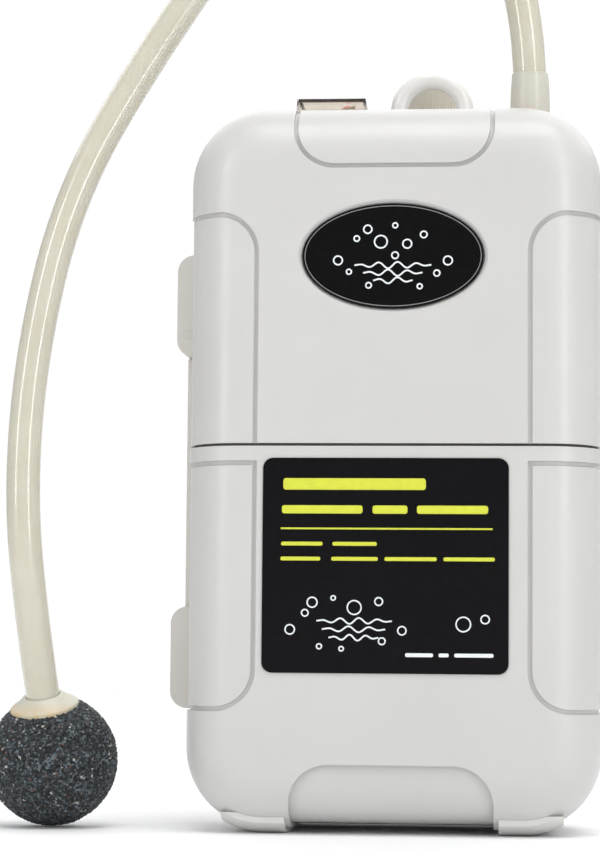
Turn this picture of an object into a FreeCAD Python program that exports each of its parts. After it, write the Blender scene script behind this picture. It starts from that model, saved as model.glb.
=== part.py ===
"""Portable battery air pump: a pump head that lifts off a two-cell battery cup.

The housing stands upright on the surface z = 0 with its front towards -Y and +X to its
right. Places are written about the housing's own middle; frame_shift_x and frame_shift_y
then carry the whole model to the middle of its footprint.
"""
import FreeCAD, Part
import math
import os
import re

import Sketcher
from FreeCAD import Placement, Rotation, Vector

os.makedirs("parts", exist_ok=True)
doc = FreeCAD.newDocument("air_pump")
sheet = doc.addObject("Spreadsheet::Sheet", "sizes")

DIMENSIONS = {
    # frame
    "frame_shift_x": 2.3, "frame_shift_y": -4.575,
    # housing envelope
    "half_width": 38.0, "half_depth": 21.0, "bottom": 0.9, "top": 133.8,
    "corner_round": 14.5, "front_round": 10.5, "rear_round": 6.0,
    "wall": 2.0, "rear_wall": 3.0, "cup_rim": 70.1, "seam": 70.6,
    "parting": 8.0, "parting_gap": 0.2, "lip": 2.0, "lip_gap": 0.05,
    # grooves and recesses in the skin
    "pad_sink": 0.25, "groove_depth": 0.6, "half_groove": 0.4, "groove_x": 24.9,
    "upper_pad_top": 112.7, "lower_pad_top": 67.0, "lower_pad_bottom": 22.5, "pad_round": 7.2,
    "top_panel_half": 18.0, "top_panel_low": 121.5, "bottom_panel_half": 18.4,
    "bottom_panel_top": 12.7, "bottom_panel_sink": 1.0,
    # badge and label
    "badge_z": 104.8, "badge_half": 16.45, "badge_half_height": 9.6, "badge_bevel": 0.7,
    "badge_gap": 0.15, "badge_seat": 1.2, "badge_thick": 1.0,
    "label_half": 22.2, "label_x": -1.1, "label_low": 29.1, "label_high": 67.9,
    "label_thick": 0.25, "label_round": 1.9,
    # feet
    "foot_in": 19.3, "foot_out": 31.0, "foot_front": 17.0, "foot_drop": 0.9,
    # switch
    "switch_x": -12.3, "switch_y": -2.0, "rocker_z": 133.3, "rocker_half": 4.1,
    "trunnion": 0.8, "dot_radius": 1.15, "boot_top": 136.8, "boot_wall": 0.4,
    # hanging ring
    "ring_x": 6.2, "ring_y": 3.3, "ring_z": 136.2, "ring_radius": 7.9, "ring_hole": 4.7,
    "ring_half": 2.3, "ring_round": 1.4, "hole_gap": 0.1,
    # outlet
    "outlet_x": 24.9, "outlet_y": 1.5, "sleeve_radius": 3.75, "sleeve_mouth": 3.45,
    "sleeve_top": 143.1, "hose_seat": 137.1, "collar_drop": 4.6, "hose_radius": 3.15,
    "nozzle_bore": 1.2, "nozzle_radius": 2.3,
    # latch on the left side
    "latch_y": 3.7, "latch_half": 4.2, "latch_pivot_x": -40.0, "latch_pivot_z": 93.0,
    "latch_pin": 0.9, "bracket_out": 42.1, "bracket_low": 88.7, "bracket_high": 108.2,
    "arm_in": 38.2, "arm_out": 40.0, "tab_out": 42.6, "tab_low": 22.2, "tab_high": 41.3,
    "tab_round": 3.2,
    # belt clip
    "clip_x": 5.4, "clip_y": 27.0, "clip_z": 112.0, "clip_pin": 1.25, "ear_in": 3.9,
    "ear_out": 6.3, "ear_radius": 3.4, "jaw_half": 10.0, "jaw_low": 54.0, "thumb_half": 6.5,
    "thumb_top": 148.0, "clip_inner": 26.4, "clip_outer": 28.6, "thumb_inner": 27.6,
    "thumb_outer": 29.8,
    # battery cells
    "cell_x": 17.7, "cell_radius": 17.1, "cell_low": 10.0, "cell_body": 60.0,
    "nipple_radius": 4.75, "nipple": 1.5,
    # head base and contacts
    "spigot_low": 63.5, "base_low": 74.5, "base_top": 76.5, "strip_thick": 0.4,
    "post_slot": 0.8, "post_half": 0.7,
    # motor and crank
    "motor_y": -1.0, "motor_z": 104.0, "motor_radius": 10.2, "motor_start": -30.0,
    "motor_end": -6.0, "shaft_radius": 1.0, "shaft_end": -0.7, "throw": 1.3,
    # diaphragm pump
    "pump_x": 1.5, "pump_radius": 11.0, "chamber_top": 85.4, "diaphragm": 1.2,
    "clamp": 2.0, "clamp_hole": 7.0,
    # housing screws
    "screw_x": 31.0, "screw_z": 121.5, "low_screw_x": 31.0, "low_screw_z": 82.5,
    "boss_radius": 3.2, "screw_radius": 1.2, "head_radius": 2.6,
    # air stone
    "stone_radius": 12.35, "stone_to_hose": 12.0, "nipple_disc": 6.4,
}
for row, (alias, number) in enumerate(DIMENSIONS.items(), start=1):
    sheet.set(f"A{row}", alias)
    sheet.set(f"B{row}", str(number))
    sheet.setAlias(f"B{row}", alias)
doc.recompute()

CLEAR = 100.0
RUN_FIT = 0.06
AXIS_TURN = {
    "X": Rotation(Vector(0, 1, 0), 90),
    "Y": Rotation(Vector(1, 0, 0), -90),
    "Z": Rotation(),
}
nodes = {}


# --- expressions ---------------------------------------------------------------------------
def sized(text):
    """Expression in which every word is a cell of the sheet."""
    return re.sub(r"[a-z_]{3,}", lambda word: "sizes." + word.group(), str(text))


def value(text):
    """Present value of an expression."""
    return float(sheet.evalExpression(sized(text)))


def place(thing, spot):
    """Bind an object's place, written about the housing's middle."""
    along = (f"({spot[0]}) + frame_shift_x", f"({spot[1]}) + frame_shift_y", spot[2])
    for axis, text in zip("xyz", along):
        thing.setExpression(f"Placement.Base.{axis}", sized(text))


def keep(label, thing):
    """Name a finished sub-part; its label is the name of its file."""
    thing.Label = label
    nodes[label] = thing
    return thing


# --- primitives and booleans ---------------------------------------------------------------
def block(name, x, y, z):
    """Box between three pairs of low and high places."""
    box = doc.addObject("Part::Box", name)
    for side, (low, high) in zip(("Length", "Width", "Height"), (x, y, z)):
        box.setExpression(side, sized(f"({high}) - ({low})"))
    place(box, (x[0], y[0], z[0]))
    return box


def rod(name, radius, start, length, axis="Z"):
    """Cylinder from start along an axis."""
    pin = doc.addObject("Part::Cylinder", name)
    pin.Placement = Placement(Vector(), AXIS_TURN[axis])
    pin.setExpression("Radius", sized(radius))
    pin.setExpression("Height", sized(length))
    place(pin, start)
    return pin


def ellipse(name, half_length, half_height, y):
    """Elliptical outline across Y, centred on the badge."""
    curve = doc.addObject("Part::Ellipse", name)
    curve.Placement = Placement(Vector(), Rotation(Vector(1, 0, 0), 90))
    curve.setExpression("MajorRadius", sized(half_length))
    curve.setExpression("MinorRadius", sized(half_height))
    place(curve, (0, y, "badge_z"))
    return curve


def oval(name, grow, low_y, high_y, far_grow=None):
    """Elliptical plug of the badge's outline grown by grow, or flaring from grow to far_grow."""
    spans = (("near", grow, low_y), ("far", far_grow or grow, high_y))
    ends = [ellipse(f"{name}_{tag}", f"badge_half + {extra}", f"badge_half_height + {extra}", y)
            for tag, extra, y in spans]
    plug = doc.addObject("Part::Loft", name)
    plug.Sections = ends
    plug.Solid = True
    plug.Ruled = True
    return plug


def join(name, *pieces):
    """Pieces fused into one, their shared faces merged."""
    whole = doc.addObject("Part::MultiFuse", name)
    whole.Shapes = list(pieces)
    whole.Refine = True
    return whole


def common(name, *pieces):
    """What all the pieces share."""
    shared = doc.addObject("Part::MultiCommon", name)
    shared.Shapes = list(pieces)
    return shared


def cut(name, base, *tools):
    """Base with every tool taken away in turn."""
    for number, tool in enumerate(tools):
        step = doc.addObject("Part::Cut", f"{name}_{number}")
        step.Base = base
        step.Tool = tool
        base = step
    return base


def group(name, *pieces):
    """Separate solids that share one node."""
    together = doc.addObject("Part::Compound", name)
    together.Links = list(pieces)
    return together


# --- sketched bodies -----------------------------------------------------------------------
def origin_plane(body, role):
    """One of a body's own three planes."""
    return next(plane for plane in body.Origin.OriginFeatures if plane.Role == role)


def outline(sketch, corners):
    """Closed straight-sided outline, each corner bound to its two expressions."""
    spots = [Vector(value(across), value(up), 0) for across, up in corners]
    for number, spot in enumerate(spots):
        sketch.addGeometry(Part.LineSegment(spot, spots[(number + 1) % len(spots)]), False)
    for number in range(len(spots)):
        after = (number + 1) % len(spots)
        sketch.addConstraint(Sketcher.Constraint("Coincident", number, 2, after, 1))
    for number, (spot, texts) in enumerate(zip(spots, corners)):
        for kind, number_now, text in zip(("DistanceX", "DistanceY"), spot, texts):
            held = Sketcher.Constraint(kind, -1, 1, number, 1, number_now)
            index = sketch.addConstraint(held)
            sketch.setExpression(f"Constraints[{index}]", sized(text))


def sketched(name, plane, corners, offset="0"):
    """Body with one closed sketch on one of its origin planes, moved along its normal."""
    body = doc.addObject("PartDesign::Body", name)
    sketch = body.newObject("Sketcher::SketchObject", name + "_sketch")
    sketch.AttachmentSupport = [(origin_plane(body, plane), "")]
    sketch.MapMode = "FlatFace"
    sketch.setExpression("AttachmentOffset.Base.z", sized(offset))
    outline(sketch, corners)
    return body, sketch


def padded(name, plane, corners, low, high):
    """Outline on the XZ or YZ plane carried from low to high along the plane's own axis."""
    offset = f"-({high})" if plane == "XZ_Plane" else low
    body, sketch = sketched(name, plane, corners, offset)
    pad = body.newObject("PartDesign::Pad", name + "_pad")
    pad.Profile = sketch
    pad.setExpression("Length", sized(f"({high}) - ({low})"))
    place(body, (0, 0, 0))
    doc.recompute()
    return body


def turned(name, profile, spot, axis="Z"):
    """Profile of (radius, height) corners turned about an axis that starts at spot."""
    body, sketch = sketched(name, "XZ_Plane", profile)
    spin = body.newObject("PartDesign::Revolution", name + "_turn")
    spin.Profile = sketch
    spin.ReferenceAxis = (sketch, ["V_Axis"])
    spin.Angle = 360
    body.Placement = Placement(Vector(), AXIS_TURN[axis])
    place(body, spot)
    doc.recompute()
    return body


def soften(body, name, wanted, radius):
    """Fillet on the edges of the body's last feature that wanted picks."""
    last = body.Tip
    edges = enumerate(last.Shape.Edges, start=1)
    picked = [f"Edge{number}" for number, edge in edges if wanted(edge)]
    fillet = body.newObject("PartDesign::Fillet", name)
    fillet.Base = (last, picked)
    fillet.setExpression("Radius", sized(radius))
    doc.recompute()


def at_corner(x, z):
    """Picks the edge along Y that stands at a place in the body's own frame."""
    spot = Vector(value(x), 0, value(z))

    def wanted(edge):
        ends = [vertex.Point for vertex in edge.Vertexes]
        if len(ends) < 2 or abs(ends[0].y - ends[1].y) < 1e-3:
            return False
        return all(math.hypot(end.x - spot.x, end.z - spot.z) < 1e-3 for end in ends)
    return wanted


def at_depth(y):
    """Picks every edge that lies in one plane across Y."""
    depth = value(y)
    return lambda edge: all(abs(v.Point.y - depth) < 1e-3 for v in edge.Vertexes) and (
        abs(edge.BoundBox.YLength) < 1e-3)


def slab(name, x, y, z, rounds=()):
    """Rectangle across X and Z, carried along Y; rounds lists (x, z, radius) of its corners."""
    corners = ((x[0], z[0]), (x[1], z[0]), (x[1], z[1]), (x[0], z[1]))
    body = padded(name, "XZ_Plane", corners, y[0], y[1])
    for number, (corner_x, corner_z, radius) in enumerate(rounds):
        soften(body, f"{name}_round_{number}", at_corner(corner_x, corner_z), radius)
    return body


forms = {}


def form(inset):
    """The housing's whole envelope, shrunk evenly by inset; made once for each inset."""
    if inset in forms:
        return forms[inset]
    tag = re.sub(r"[^a-z0-9]", "_", str(inset))
    name = f"envelope_{tag}"
    wide = f"half_width - ({inset})"
    low, high = f"bottom + ({inset})", f"top - ({inset})"
    deep = f"half_depth - ({inset})"
    body = slab(name, (f"-({wide})", wide), (f"-({deep})", deep), (low, high))
    for number, (x, z) in enumerate(((f"-({wide})", low), (wide, low), (wide, high), (f"-({wide})", high))):
        soften(body, f"{name}_corner_{number}", at_corner(x, z), f"corner_round - ({inset})")
    soften(body, name + "_front", at_depth(f"-({deep})"), f"front_round - ({inset})")
    soften(body, name + "_rear", at_depth(deep), f"rear_round - ({inset})")
    forms[inset] = body
    return body


def layer(name, inset_out, inset_in, low, high):
    """Ring of the housing's outline between two insets and two heights."""
    around = ("-60", "60")
    return cut(name, common(name + "_slice", form(inset_out),
                            block(name + "_height", around, around, (low, high))), form(inset_in))


# --- relief of the skin --------------------------------------------------------------------
def pad_region(name, side, low, high, grow, round_low, round_high):
    """Side grip seen from the front: everything beyond groove_x, grown by grow."""
    edge = f"{side} * (groove_x - ({grow}))"
    far = f"{side} * 60"
    x = (far, edge) if side < 0 else (edge, far)
    z = (f"{low} - ({grow})", f"{high} + ({grow})")
    rounds = []
    if round_low:
        rounds.append((edge, z[0], f"pad_round + ({grow})"))
    if round_high:
        rounds.append((edge, z[1], f"pad_round + ({grow})"))
    return slab(name, x, ("-60", "60"), z, rounds)


def pad_pair(name, side, low, high, round_low, round_high):
    """Sunk face and surrounding groove of one side grip."""
    outer = pad_region(name + "_outer", side, low, high, "half_groove", round_low, round_high)
    inner = pad_region(name + "_inner", side, low, high, "-half_groove", round_low, round_high)
    return inner, cut(name + "_band", outer, inner)


def relief(name, regions, inset):
    """Everything of the regions that lies outside the envelope shrunk by inset."""
    whole = join(name + "_regions", *regions) if len(regions) > 1 else regions[0]
    return cut(name, whole, form(inset))


upper_pads = [pad_pair(f"upper_pad_{tag}", side, "seam - 10", "upper_pad_top", False, True)
              for tag, side in (("left", -1), ("right", 1))]
lower_pads = [pad_pair(f"lower_pad_{tag}", side, "lower_pad_bottom", "lower_pad_top", True, False)
              for tag, side in (("left", -1), ("right", 1))]


def top_panel_region(name, grow):
    """Top panel seen from the front, grown by grow."""
    half, low = f"top_panel_half + ({grow})", f"top_panel_low - ({grow})"
    rounds = [(f"-({half})", low, f"pad_round + ({grow})"), (half, low, f"pad_round + ({grow})")]
    return slab(name, (f"-({half})", half), ("-60", "-9"), (low, "top + 20"), rounds)


top_band = cut("top_panel_band", top_panel_region("top_panel_outer", "half_groove"),
               top_panel_region("top_panel_inner", "-half_groove"))
bottom_region = slab(
    "bottom_panel_region", ("-bottom_panel_half", "bottom_panel_half"), ("-60", "2"),
    ("-20", "bottom_panel_top"),
    [(f"{sign}bottom_panel_half", "bottom_panel_top", "pad_round") for sign in ("-", "")])

upper_grooves = relief("upper_grooves", [pad[1] for pad in upper_pads] + [top_band], "groove_depth")
upper_sinks = relief("upper_sinks", [pad[0] for pad in upper_pads], "pad_sink")
lower_grooves = relief("lower_grooves", [pad[1] for pad in lower_pads], "groove_depth")
lower_sinks = relief("lower_sinks", [pad[0] for pad in lower_pads], "pad_sink")
bottom_sink = relief("bottom_sink", [bottom_region], "bottom_panel_sink")

SCREWS = (("-screw_x", "screw_z"), ("screw_x", "screw_z"),
          ("-low_screw_x", "low_screw_z"), ("low_screw_x", "low_screw_z"))


def screw_rods(name, radius, low, high):
    """A cylinder along Y at each housing screw."""
    return [rod(f"{name}_{number}", radius, (x, low, z), f"({high}) - ({low})", "Y")
            for number, (x, z) in enumerate(SCREWS)]


# --- battery cup ---------------------------------------------------------------------------
def battery_cup():
    """Lower housing with its grips and base recess, and the label on its front."""
    below = block("cup_height", ("-60", "60"), ("-60", "60"), ("-10", "cup_rim"))
    shell = cut("cup_shell", common("cup_outer", form("0"), below), form("wall"))
    keep("battery_cup", cut("cup", shell, lower_grooves, lower_sinks, bottom_sink))
    label_x = ("label_x - label_half", "label_x + label_half")
    label_z = ("label_low", "label_high")
    rounds = [(x, z, "label_round") for x in label_x for z in label_z]
    keep("cup_label", slab("label", label_x, ("-half_depth - label_thick", "-half_depth"), label_z, rounds))


def feet():
    """Runner feet that follow the housing's lower front and rear rounds."""
    hull = cut("foot_hull", form("-foot_drop"), form("0"))
    for label, x in (("foot_left", ("-foot_out", "-foot_in")), ("foot_right", ("foot_in", "foot_out"))):
        piece = block(label + "_piece", x, ("-foot_front", "foot_front"), ("-1", "bottom + 3"))
        keep(label, common(label, hull, piece))


def cells():
    """Two D cells, the right one upside down."""
    body_top, total = "cell_body", "cell_body + nipple"
    profile = (("0", "0"), ("cell_radius", "0"), ("cell_radius", body_top),
               ("nipple_radius", body_top), ("nipple_radius", total), ("0", total))
    keep("cell_left", turned("cell_left", profile, ("-cell_x", "0", "cell_low")))
    flipped = tuple((radius, f"{total} - ({height})") for radius, height in profile)
    keep("cell_right", turned("cell_right", flipped, ("cell_x", "0", "cell_low")))


def cell_cradle():
    """Floor that seats both cells, with the strip and spring that join them."""
    raft = common("cradle_raft", form("wall + 0.2"),
                  block("cradle_height", ("-60", "60"), ("-60", "60"), ("0", "14")))
    seats = [rod(f"cradle_seat_{number}", "cell_radius + 0.2", (x, "0", "cell_low - 0.1"), "20")
             for number, x in enumerate(("-cell_x", "cell_x"))]
    trench = block("cradle_trench", ("-25", "25"), ("-5.5", "5.5"), ("7.5", "20"))
    well = rod("cradle_well", "6", ("-cell_x", "0", "7.5"), "10")
    keep("cell_cradle", cut("cradle", raft, *seats, trench, well))
    strip = block("link_strip", ("-24", "24"), ("-5", "5"), ("7.6", "7.6 + strip_thick"))
    stud = rod("link_stud", "4", ("cell_x", "0", "7.6"), "cell_low - 7.6")
    keep("link_plate", join("link_plate", strip, stud))
    keep("link_spring", spring_ring("link_spring", "-cell_x", "7.6 + strip_thick", "cell_low", "5"))


def spring_ring(name, x, low, high, radius):
    """Outer shape of a short conical contact spring."""
    profile = ((f"{radius} - 0.8", "0"), (radius, "0"), (f"{radius} - 1.2", f"({high}) - ({low})"),
               (f"{radius} - 2", f"({high}) - ({low})"))
    return turned(name, profile, (x, "0", low))


# --- pump head shells ----------------------------------------------------------------------
CONTACT_POSTS = ((-24, 12), (23, -5))


def ring_form(name, grow):
    """Hanging ring: a flat ring with its four edges rounded, its axis along Y."""
    half = f"ring_half + ({grow})"
    tall = f"ring_radius + ({grow})"
    hole = f"ring_hole - ({grow})"
    profile = ((hole, f"-({half})"), (tall, f"-({half})"), (tall, half), (hole, half))
    ring = turned(name, profile, ("ring_x", "ring_y", "ring_z"), "Y")
    soften(ring, name + "_round", lambda edge: True, "ring_round")
    return ring


def upper_front_shell():
    """Front shell of the head, with screw bosses and every opening in its top and front."""
    region = block("front_region", ("-60", "60"), ("-60", "parting"), ("seam", "200"))
    shell = cut("front_shell", common("front_outer", form("0"), region), form("wall"))
    bosses = common("front_bosses", form("1"),
                    join("front_boss_rods", *screw_rods("front_boss", "boss_radius", "-half_depth",
                                                        "parting - lip - 0.5")))
    pilots = screw_rods("front_pilot", "screw_radius + 0.05", "-9", "parting")
    solid = join("front_solid", shell, bosses)
    bevel = oval("badge_bevel_cut", "badge_gap + badge_bevel + 0.5", "-half_depth - 0.5",
                 "-half_depth + badge_bevel + 0.1", "badge_gap - 0.1")
    seat = oval("badge_seat_cut", "badge_gap", "-half_depth - 1", "-half_depth + badge_seat")
    switch_hole = block("switch_hole", ("switch_x - 6.1", "switch_x + 6.1"),
                        ("switch_y - 4.6", "switch_y + 4.6"), ("top - 8", "top + 8"))
    outlet_hole = rod("outlet_hole", "sleeve_radius + 0.05", ("outlet_x", "outlet_y", "top - 8"), "16")
    keep("upper_front_shell", cut("front", solid, upper_grooves, upper_sinks, bevel, seat, switch_hole,
                                  outlet_hole, ring_form("ring_hole_cut", "hole_gap"), *pilots))


def upper_rear_shell():
    """Rear shell of the head, with its joint lip, screw posts and the clip's ears."""
    start = "parting + parting_gap"
    region = block("rear_region", ("-60", "60"), (start, "60"), ("seam", "200"))
    shell = cut("rear_shell", common("rear_outer", form("0"), region), form("rear_wall"))
    lip_region = block("lip_region", ("-60", "60"), ("parting - lip", f"{start} + 1"), ("seam", "200"))
    lip = cut("rear_lip", common("lip_outer", form("wall + lip_gap"), lip_region), form("rear_wall"))
    posts = common("rear_posts", form("1"), join("rear_post_rods", *screw_rods(
        "rear_post", "boss_radius", "parting - lip", "half_depth")))
    ears = []
    for tag, low, high in (("left", "clip_x - ear_out", "clip_x - ear_in"),
                           ("right", "clip_x + ear_in", "clip_x + ear_out")):
        web = block(f"ear_web_{tag}", (low, high), ("half_depth - 1.5", "clip_y"),
                    ("clip_z - ear_radius", "clip_z + ear_radius"))
        eye = rod(f"ear_eye_{tag}", "ear_radius", (low, "clip_y", "clip_z"), "ear_out - ear_in", "X")
        ears.extend((web, eye))
    solid = join("rear_solid", shell, lip, posts, *ears)
    holes = screw_rods("rear_hole", "screw_radius + 0.3", "0", "60")
    sinks = screw_rods("rear_sink", "head_radius + 0.3", "parting + 6", "60")
    pin_hole = rod("ear_pin_hole", "clip_pin", ("clip_x - 20", "clip_y", "clip_z"), "40", "X")
    keep("upper_rear_shell", cut("rear", solid, upper_grooves, upper_sinks, pin_hole, *holes, *sinks))


def housing_screws():
    """Four slotted screws that hold the two shells together."""
    shanks = screw_rods("shank", "screw_radius", "-7", "parting + 6")
    heads = screw_rods("screw_head", "head_radius", "parting + 6", "parting + 7.6")
    slots = [block(f"screw_slot_{number}", (f"{x} - 0.4", f"{x} + 0.4"), ("parting + 6.8", "parting + 8"),
                   (f"{z} - 1.8", f"{z} + 1.8")) for number, (x, z) in enumerate(SCREWS)]
    screws = [cut(f"screw_{number}", join(f"screw_whole_{number}", *pair), slots[number])
              for number, pair in enumerate(zip(shanks, heads))]
    keep("housing_screws", group("housing_screws", *screws))


def head_base():
    """Bulkhead that closes the head and plugs into the cup, and the gasket in the seam."""
    around = ("-60", "60")
    plate = common("base_plate", form("rear_wall + 0.05"),
                   block("base_plate_height", around, around, ("base_low", "base_top")))
    skirt = layer("base_skirt", "rear_wall + 0.05", "rear_wall + 1.2", "cup_rim", "base_low")
    spigot = layer("base_spigot", "wall + 0.3", "rear_wall + 1.2", "spigot_low", "cup_rim")
    rooms = [rod(f"cell_room_{number}", "cell_radius + 0.4", (x, "0", "50"), "base_low - 50")
             for number, x in enumerate(("-cell_x", "cell_x"))]
    slots = [block(f"post_slot_{number}", (f"{x} - post_slot", f"{x} + post_slot"),
                   (f"{y} - post_slot", f"{y} + post_slot"), ("base_low - 1", "base_top + 1"))
             for number, (x, y) in enumerate(CONTACT_POSTS)]
    keep("head_base", cut("base", join("base_solid", plate, skirt, spigot), *rooms, *slots))
    keep("seam_gasket", layer("gasket", "0.9", "rear_wall", "cup_rim + 0.1", "seam - 0.05"))


def contacts():
    """Sprung contacts under the base, each with an ear and a post up through it."""
    strip = ("base_low - strip_thick - 0.05", "base_low - 0.05")
    low_foot = "cell_low + cell_body + nipple + 0.3"
    spans = (("contact_positive", ("-27", "-14"), ("-26", "-22"), ("3", "13"), CONTACT_POSTS[0]),
             ("contact_negative", ("13", "25"), ("21", "25"), ("-6", "-3"), CONTACT_POSTS[1]))
    for label, x, ear_x, ear_y, post in spans:
        post_x, post_y = ((f"{middle} - post_half", f"{middle} + post_half") for middle in post)
        pieces = [block(label + "_strip", x, ("-3", "3"), strip),
                  block(label + "_ear", ear_x, ear_y, strip),
                  block(label + "_post", post_x, post_y, (strip[0], "base_top + 1.5"))]
        if label == "contact_positive":
            pieces.append(block(label + "_leg", ("-27", "-26.6"), ("-3", "3"), (low_foot, strip[1])))
            pieces.append(block(label + "_foot", ("-27", "-14"), ("-3", "3"),
                                (low_foot, f"{low_foot} + strip_thick")))
        keep(label, join(label, *pieces))
    keep("contact_spring", spring_ring("contact_spring", "cell_x", low_foot, strip[0], "4.5"))


def badge_plate():
    """Oval plate in the badge's seat."""
    back = "-half_depth + badge_seat - 0.02"
    keep("badge_plate", oval("badge_plate", "0", f"{back} - badge_thick", back))


# --- fittings on the top -------------------------------------------------------------------
def hang_ring():
    """Hanging ring on a foot held under the shells' top wall."""
    foot = block("ring_foot", ("ring_x - 9.5", "ring_x + 9.5"), ("ring_y - 2.6", "ring_y + 2.6"),
                 ("top - 6.5", "top - wall"))
    keep("hang_ring", join("hang_ring", ring_form("ring_body", "0"), foot))


def around_switch(length, depth, low, high, name):
    """Box centred on the switch."""
    return block(name, (f"switch_x - {length}", f"switch_x + {length}"),
                 (f"switch_y - {depth}", f"switch_y + {depth}"), (low, high))


def switch():
    """Rocker switch: frame, rocker on its trunnions, marker dot and terminals."""
    box = around_switch("6.0", "4.5", "top - 12", "top", "switch_box")
    bezel = around_switch("5.95", "4.5", "top", "top + 1.1", "switch_bezel")
    pocket = around_switch("5.0", "3.5", "top - 7", "top + 5", "switch_pocket")
    axle_hole = rod("switch_axle_hole", f"trunnion + {RUN_FIT}", ("switch_x", "switch_y - 4", "rocker_z"),
                    "8", "Y")
    keep("switch_frame", cut("switch_frame", join("switch_solid", box, bezel), pocket, axle_hole))
    corners = ((-1, 1.1), (-1, -0.6), (-0.72, -3.2), (0.72, -3.2), (1, -0.6), (1, 2.6), (0, 1.6))
    profile = [(f"switch_x + {x} * rocker_half", f"rocker_z + {z}") for x, z in corners]
    wedge = padded("rocker_wedge", "XZ_Plane", profile, "switch_y - 3.1", "switch_y + 3.1")
    axle = rod("rocker_axle", "trunnion", ("switch_x", "switch_y - 3.9", "rocker_z"), "7.8", "Y")
    seat, dot = (dot_plug(name, grow) for name, grow in (("dot_seat", "0.05"), ("dot", "0")))
    keep("switch_rocker", cut("rocker", join("rocker_solid", wedge, axle), seat))
    keep("switch_dot", dot)
    blades = [block(f"switch_blade_{number}", (f"switch_x + {x} - 0.25", f"switch_x + {x} + 0.25"),
                    ("switch_y - 2", "switch_y + 2"), ("top - 18", "top - 12"))
              for number, x in enumerate((-2.7, 2.7))]
    keep("switch_terminals", group("switch_terminals", *blades))


def dot_plug(name, grow):
    """Domed marker let into the raised half of the rocker."""
    slope = -math.degrees(math.atan2(1.0, value("rocker_half")))
    radius = f"dot_radius + {grow}"
    profile = (("0", "-0.5"), (radius, "-0.5"), (radius, "0.2"), (f"{radius} - 0.35", "0.45"), ("0", "0.5"))
    plug = turned(name, profile, ("switch_x + 2.5", "switch_y - 1.4", "rocker_z + 2.21"))
    plug.Placement = Placement(plug.Placement.Base, Rotation(Vector(0, 1, 0), slope))
    return plug


def switch_boot():
    """Clear hood over the switch, its ends leaning in towards the top."""

    def hood(name, thin, low):
        """The hood's outline, thinned all round by thin."""
        lean = 0.55
        half, top = f"6.85 - {thin}", f"boot_top - {thin}"
        corners = ((f"switch_x - ({half})", low), (f"switch_x + {half}", low),
                   (f"switch_x + {half} - {lean}", top), (f"switch_x - ({half}) + {lean} * 0.6", top))
        return padded(name, "XZ_Plane", corners, f"switch_y - (5.5 - {thin})", f"switch_y + (5.5 - {thin})")

    keep("switch_boot", cut("boot", hood("boot_outer", "0", "top + 0.02"),
                            hood("boot_inner", "boot_wall", "top - 1")))


def outlet():
    """Nozzle through the top wall, barbed below, and the sleeve that joins the hose to it."""
    middle = "top + 3"
    flange = "-collar_drop - 1.4"
    flare = (("nozzle_bore", "-16"), ("1.9", "-16"), ("2.4", "-13"), ("2.0", "-12.5"), ("2.0", flange),
             ("4.3", flange), ("4.3", "-collar_drop"), ("nozzle_radius", "-collar_drop"),
             ("nozzle_radius", "hose_seat - top"), ("nozzle_bore", "hose_seat - top"))
    keep("outlet_nozzle", turned("outlet_nozzle", flare, ("outlet_x", "outlet_y", "top")))
    profile = (("nozzle_radius + 0.02", "top - collar_drop"), ("sleeve_mouth", "top - collar_drop"),
               ("sleeve_radius", middle), ("sleeve_radius", f"{middle} + 3"),
               ("sleeve_mouth", "sleeve_top"), ("hose_radius + 0.05", "sleeve_top"),
               ("hose_radius + 0.05", "hose_seat"), ("nozzle_radius + 0.02", "hose_seat"))
    keep("outlet_sleeve", turned("outlet_sleeve", profile, ("outlet_x", "outlet_y", "0")))


# --- latch on the left side ----------------------------------------------------------------
def latch():
    """Bracket on the side and the arm that swings on a pin in it."""
    across = ("latch_y - latch_half", "latch_y + latch_half")
    bracket = slab("bracket_body", ("-bracket_out", "-half_width + pad_sink"), across,
                   ("bracket_low", "bracket_high"),
                   [("-bracket_out", z, "tab_round") for z in ("bracket_low", "bracket_high")])
    slot = block("bracket_slot", ("-60", "-half_width + pad_sink + 0.1"),
                 ("latch_y - 2.1", "latch_y + 2.1"), ("bracket_low - 1", "latch_pivot_z + 3"))
    hole = rod("bracket_hole", "latch_pin", ("latch_pivot_x", "-20", "latch_pivot_z"), "40", "Y")
    keep("latch_bracket", cut("bracket", bracket, slot, hole))
    keep("latch_pin", rod("latch_pin_body", "latch_pin", ("latch_pivot_x", across[0], "latch_pivot_z"),
                          "2 * latch_half", "Y"))
    strip = block("arm_strip", ("-arm_out", "-arm_in"), ("latch_y - 3.4", "latch_y + 3.4"),
                  ("tab_high - 2", "bracket_low - 0.5"))
    neck = block("arm_neck", ("-arm_out", "-arm_in"), ("latch_y - 1.8", "latch_y + 1.8"),
                 ("bracket_low - 3", "latch_pivot_z"))
    knuckle = rod("arm_knuckle", "latch_pin + 0.9", ("latch_pivot_x", "latch_y - 1.8", "latch_pivot_z"),
                  "3.6", "Y")
    tab = slab("arm_tab", ("-tab_out", "-arm_in"), across, ("tab_low", "tab_high"),
               [("-tab_out", z, "tab_round") for z in ("tab_low", "tab_high")])
    bore = rod("arm_bore", f"latch_pin + {RUN_FIT}", ("latch_pivot_x", "-20", "latch_pivot_z"), "40", "Y")
    keep("latch_arm", cut("arm", join("arm_solid", strip, neck, knuckle, tab), bore))


# --- belt clip on the rear -----------------------------------------------------------------
def around_clip(name, half, y, z):
    """Box centred on the clip along X."""
    return block(name, (f"clip_x - {half}", f"clip_x + {half}"), y, z)


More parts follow.
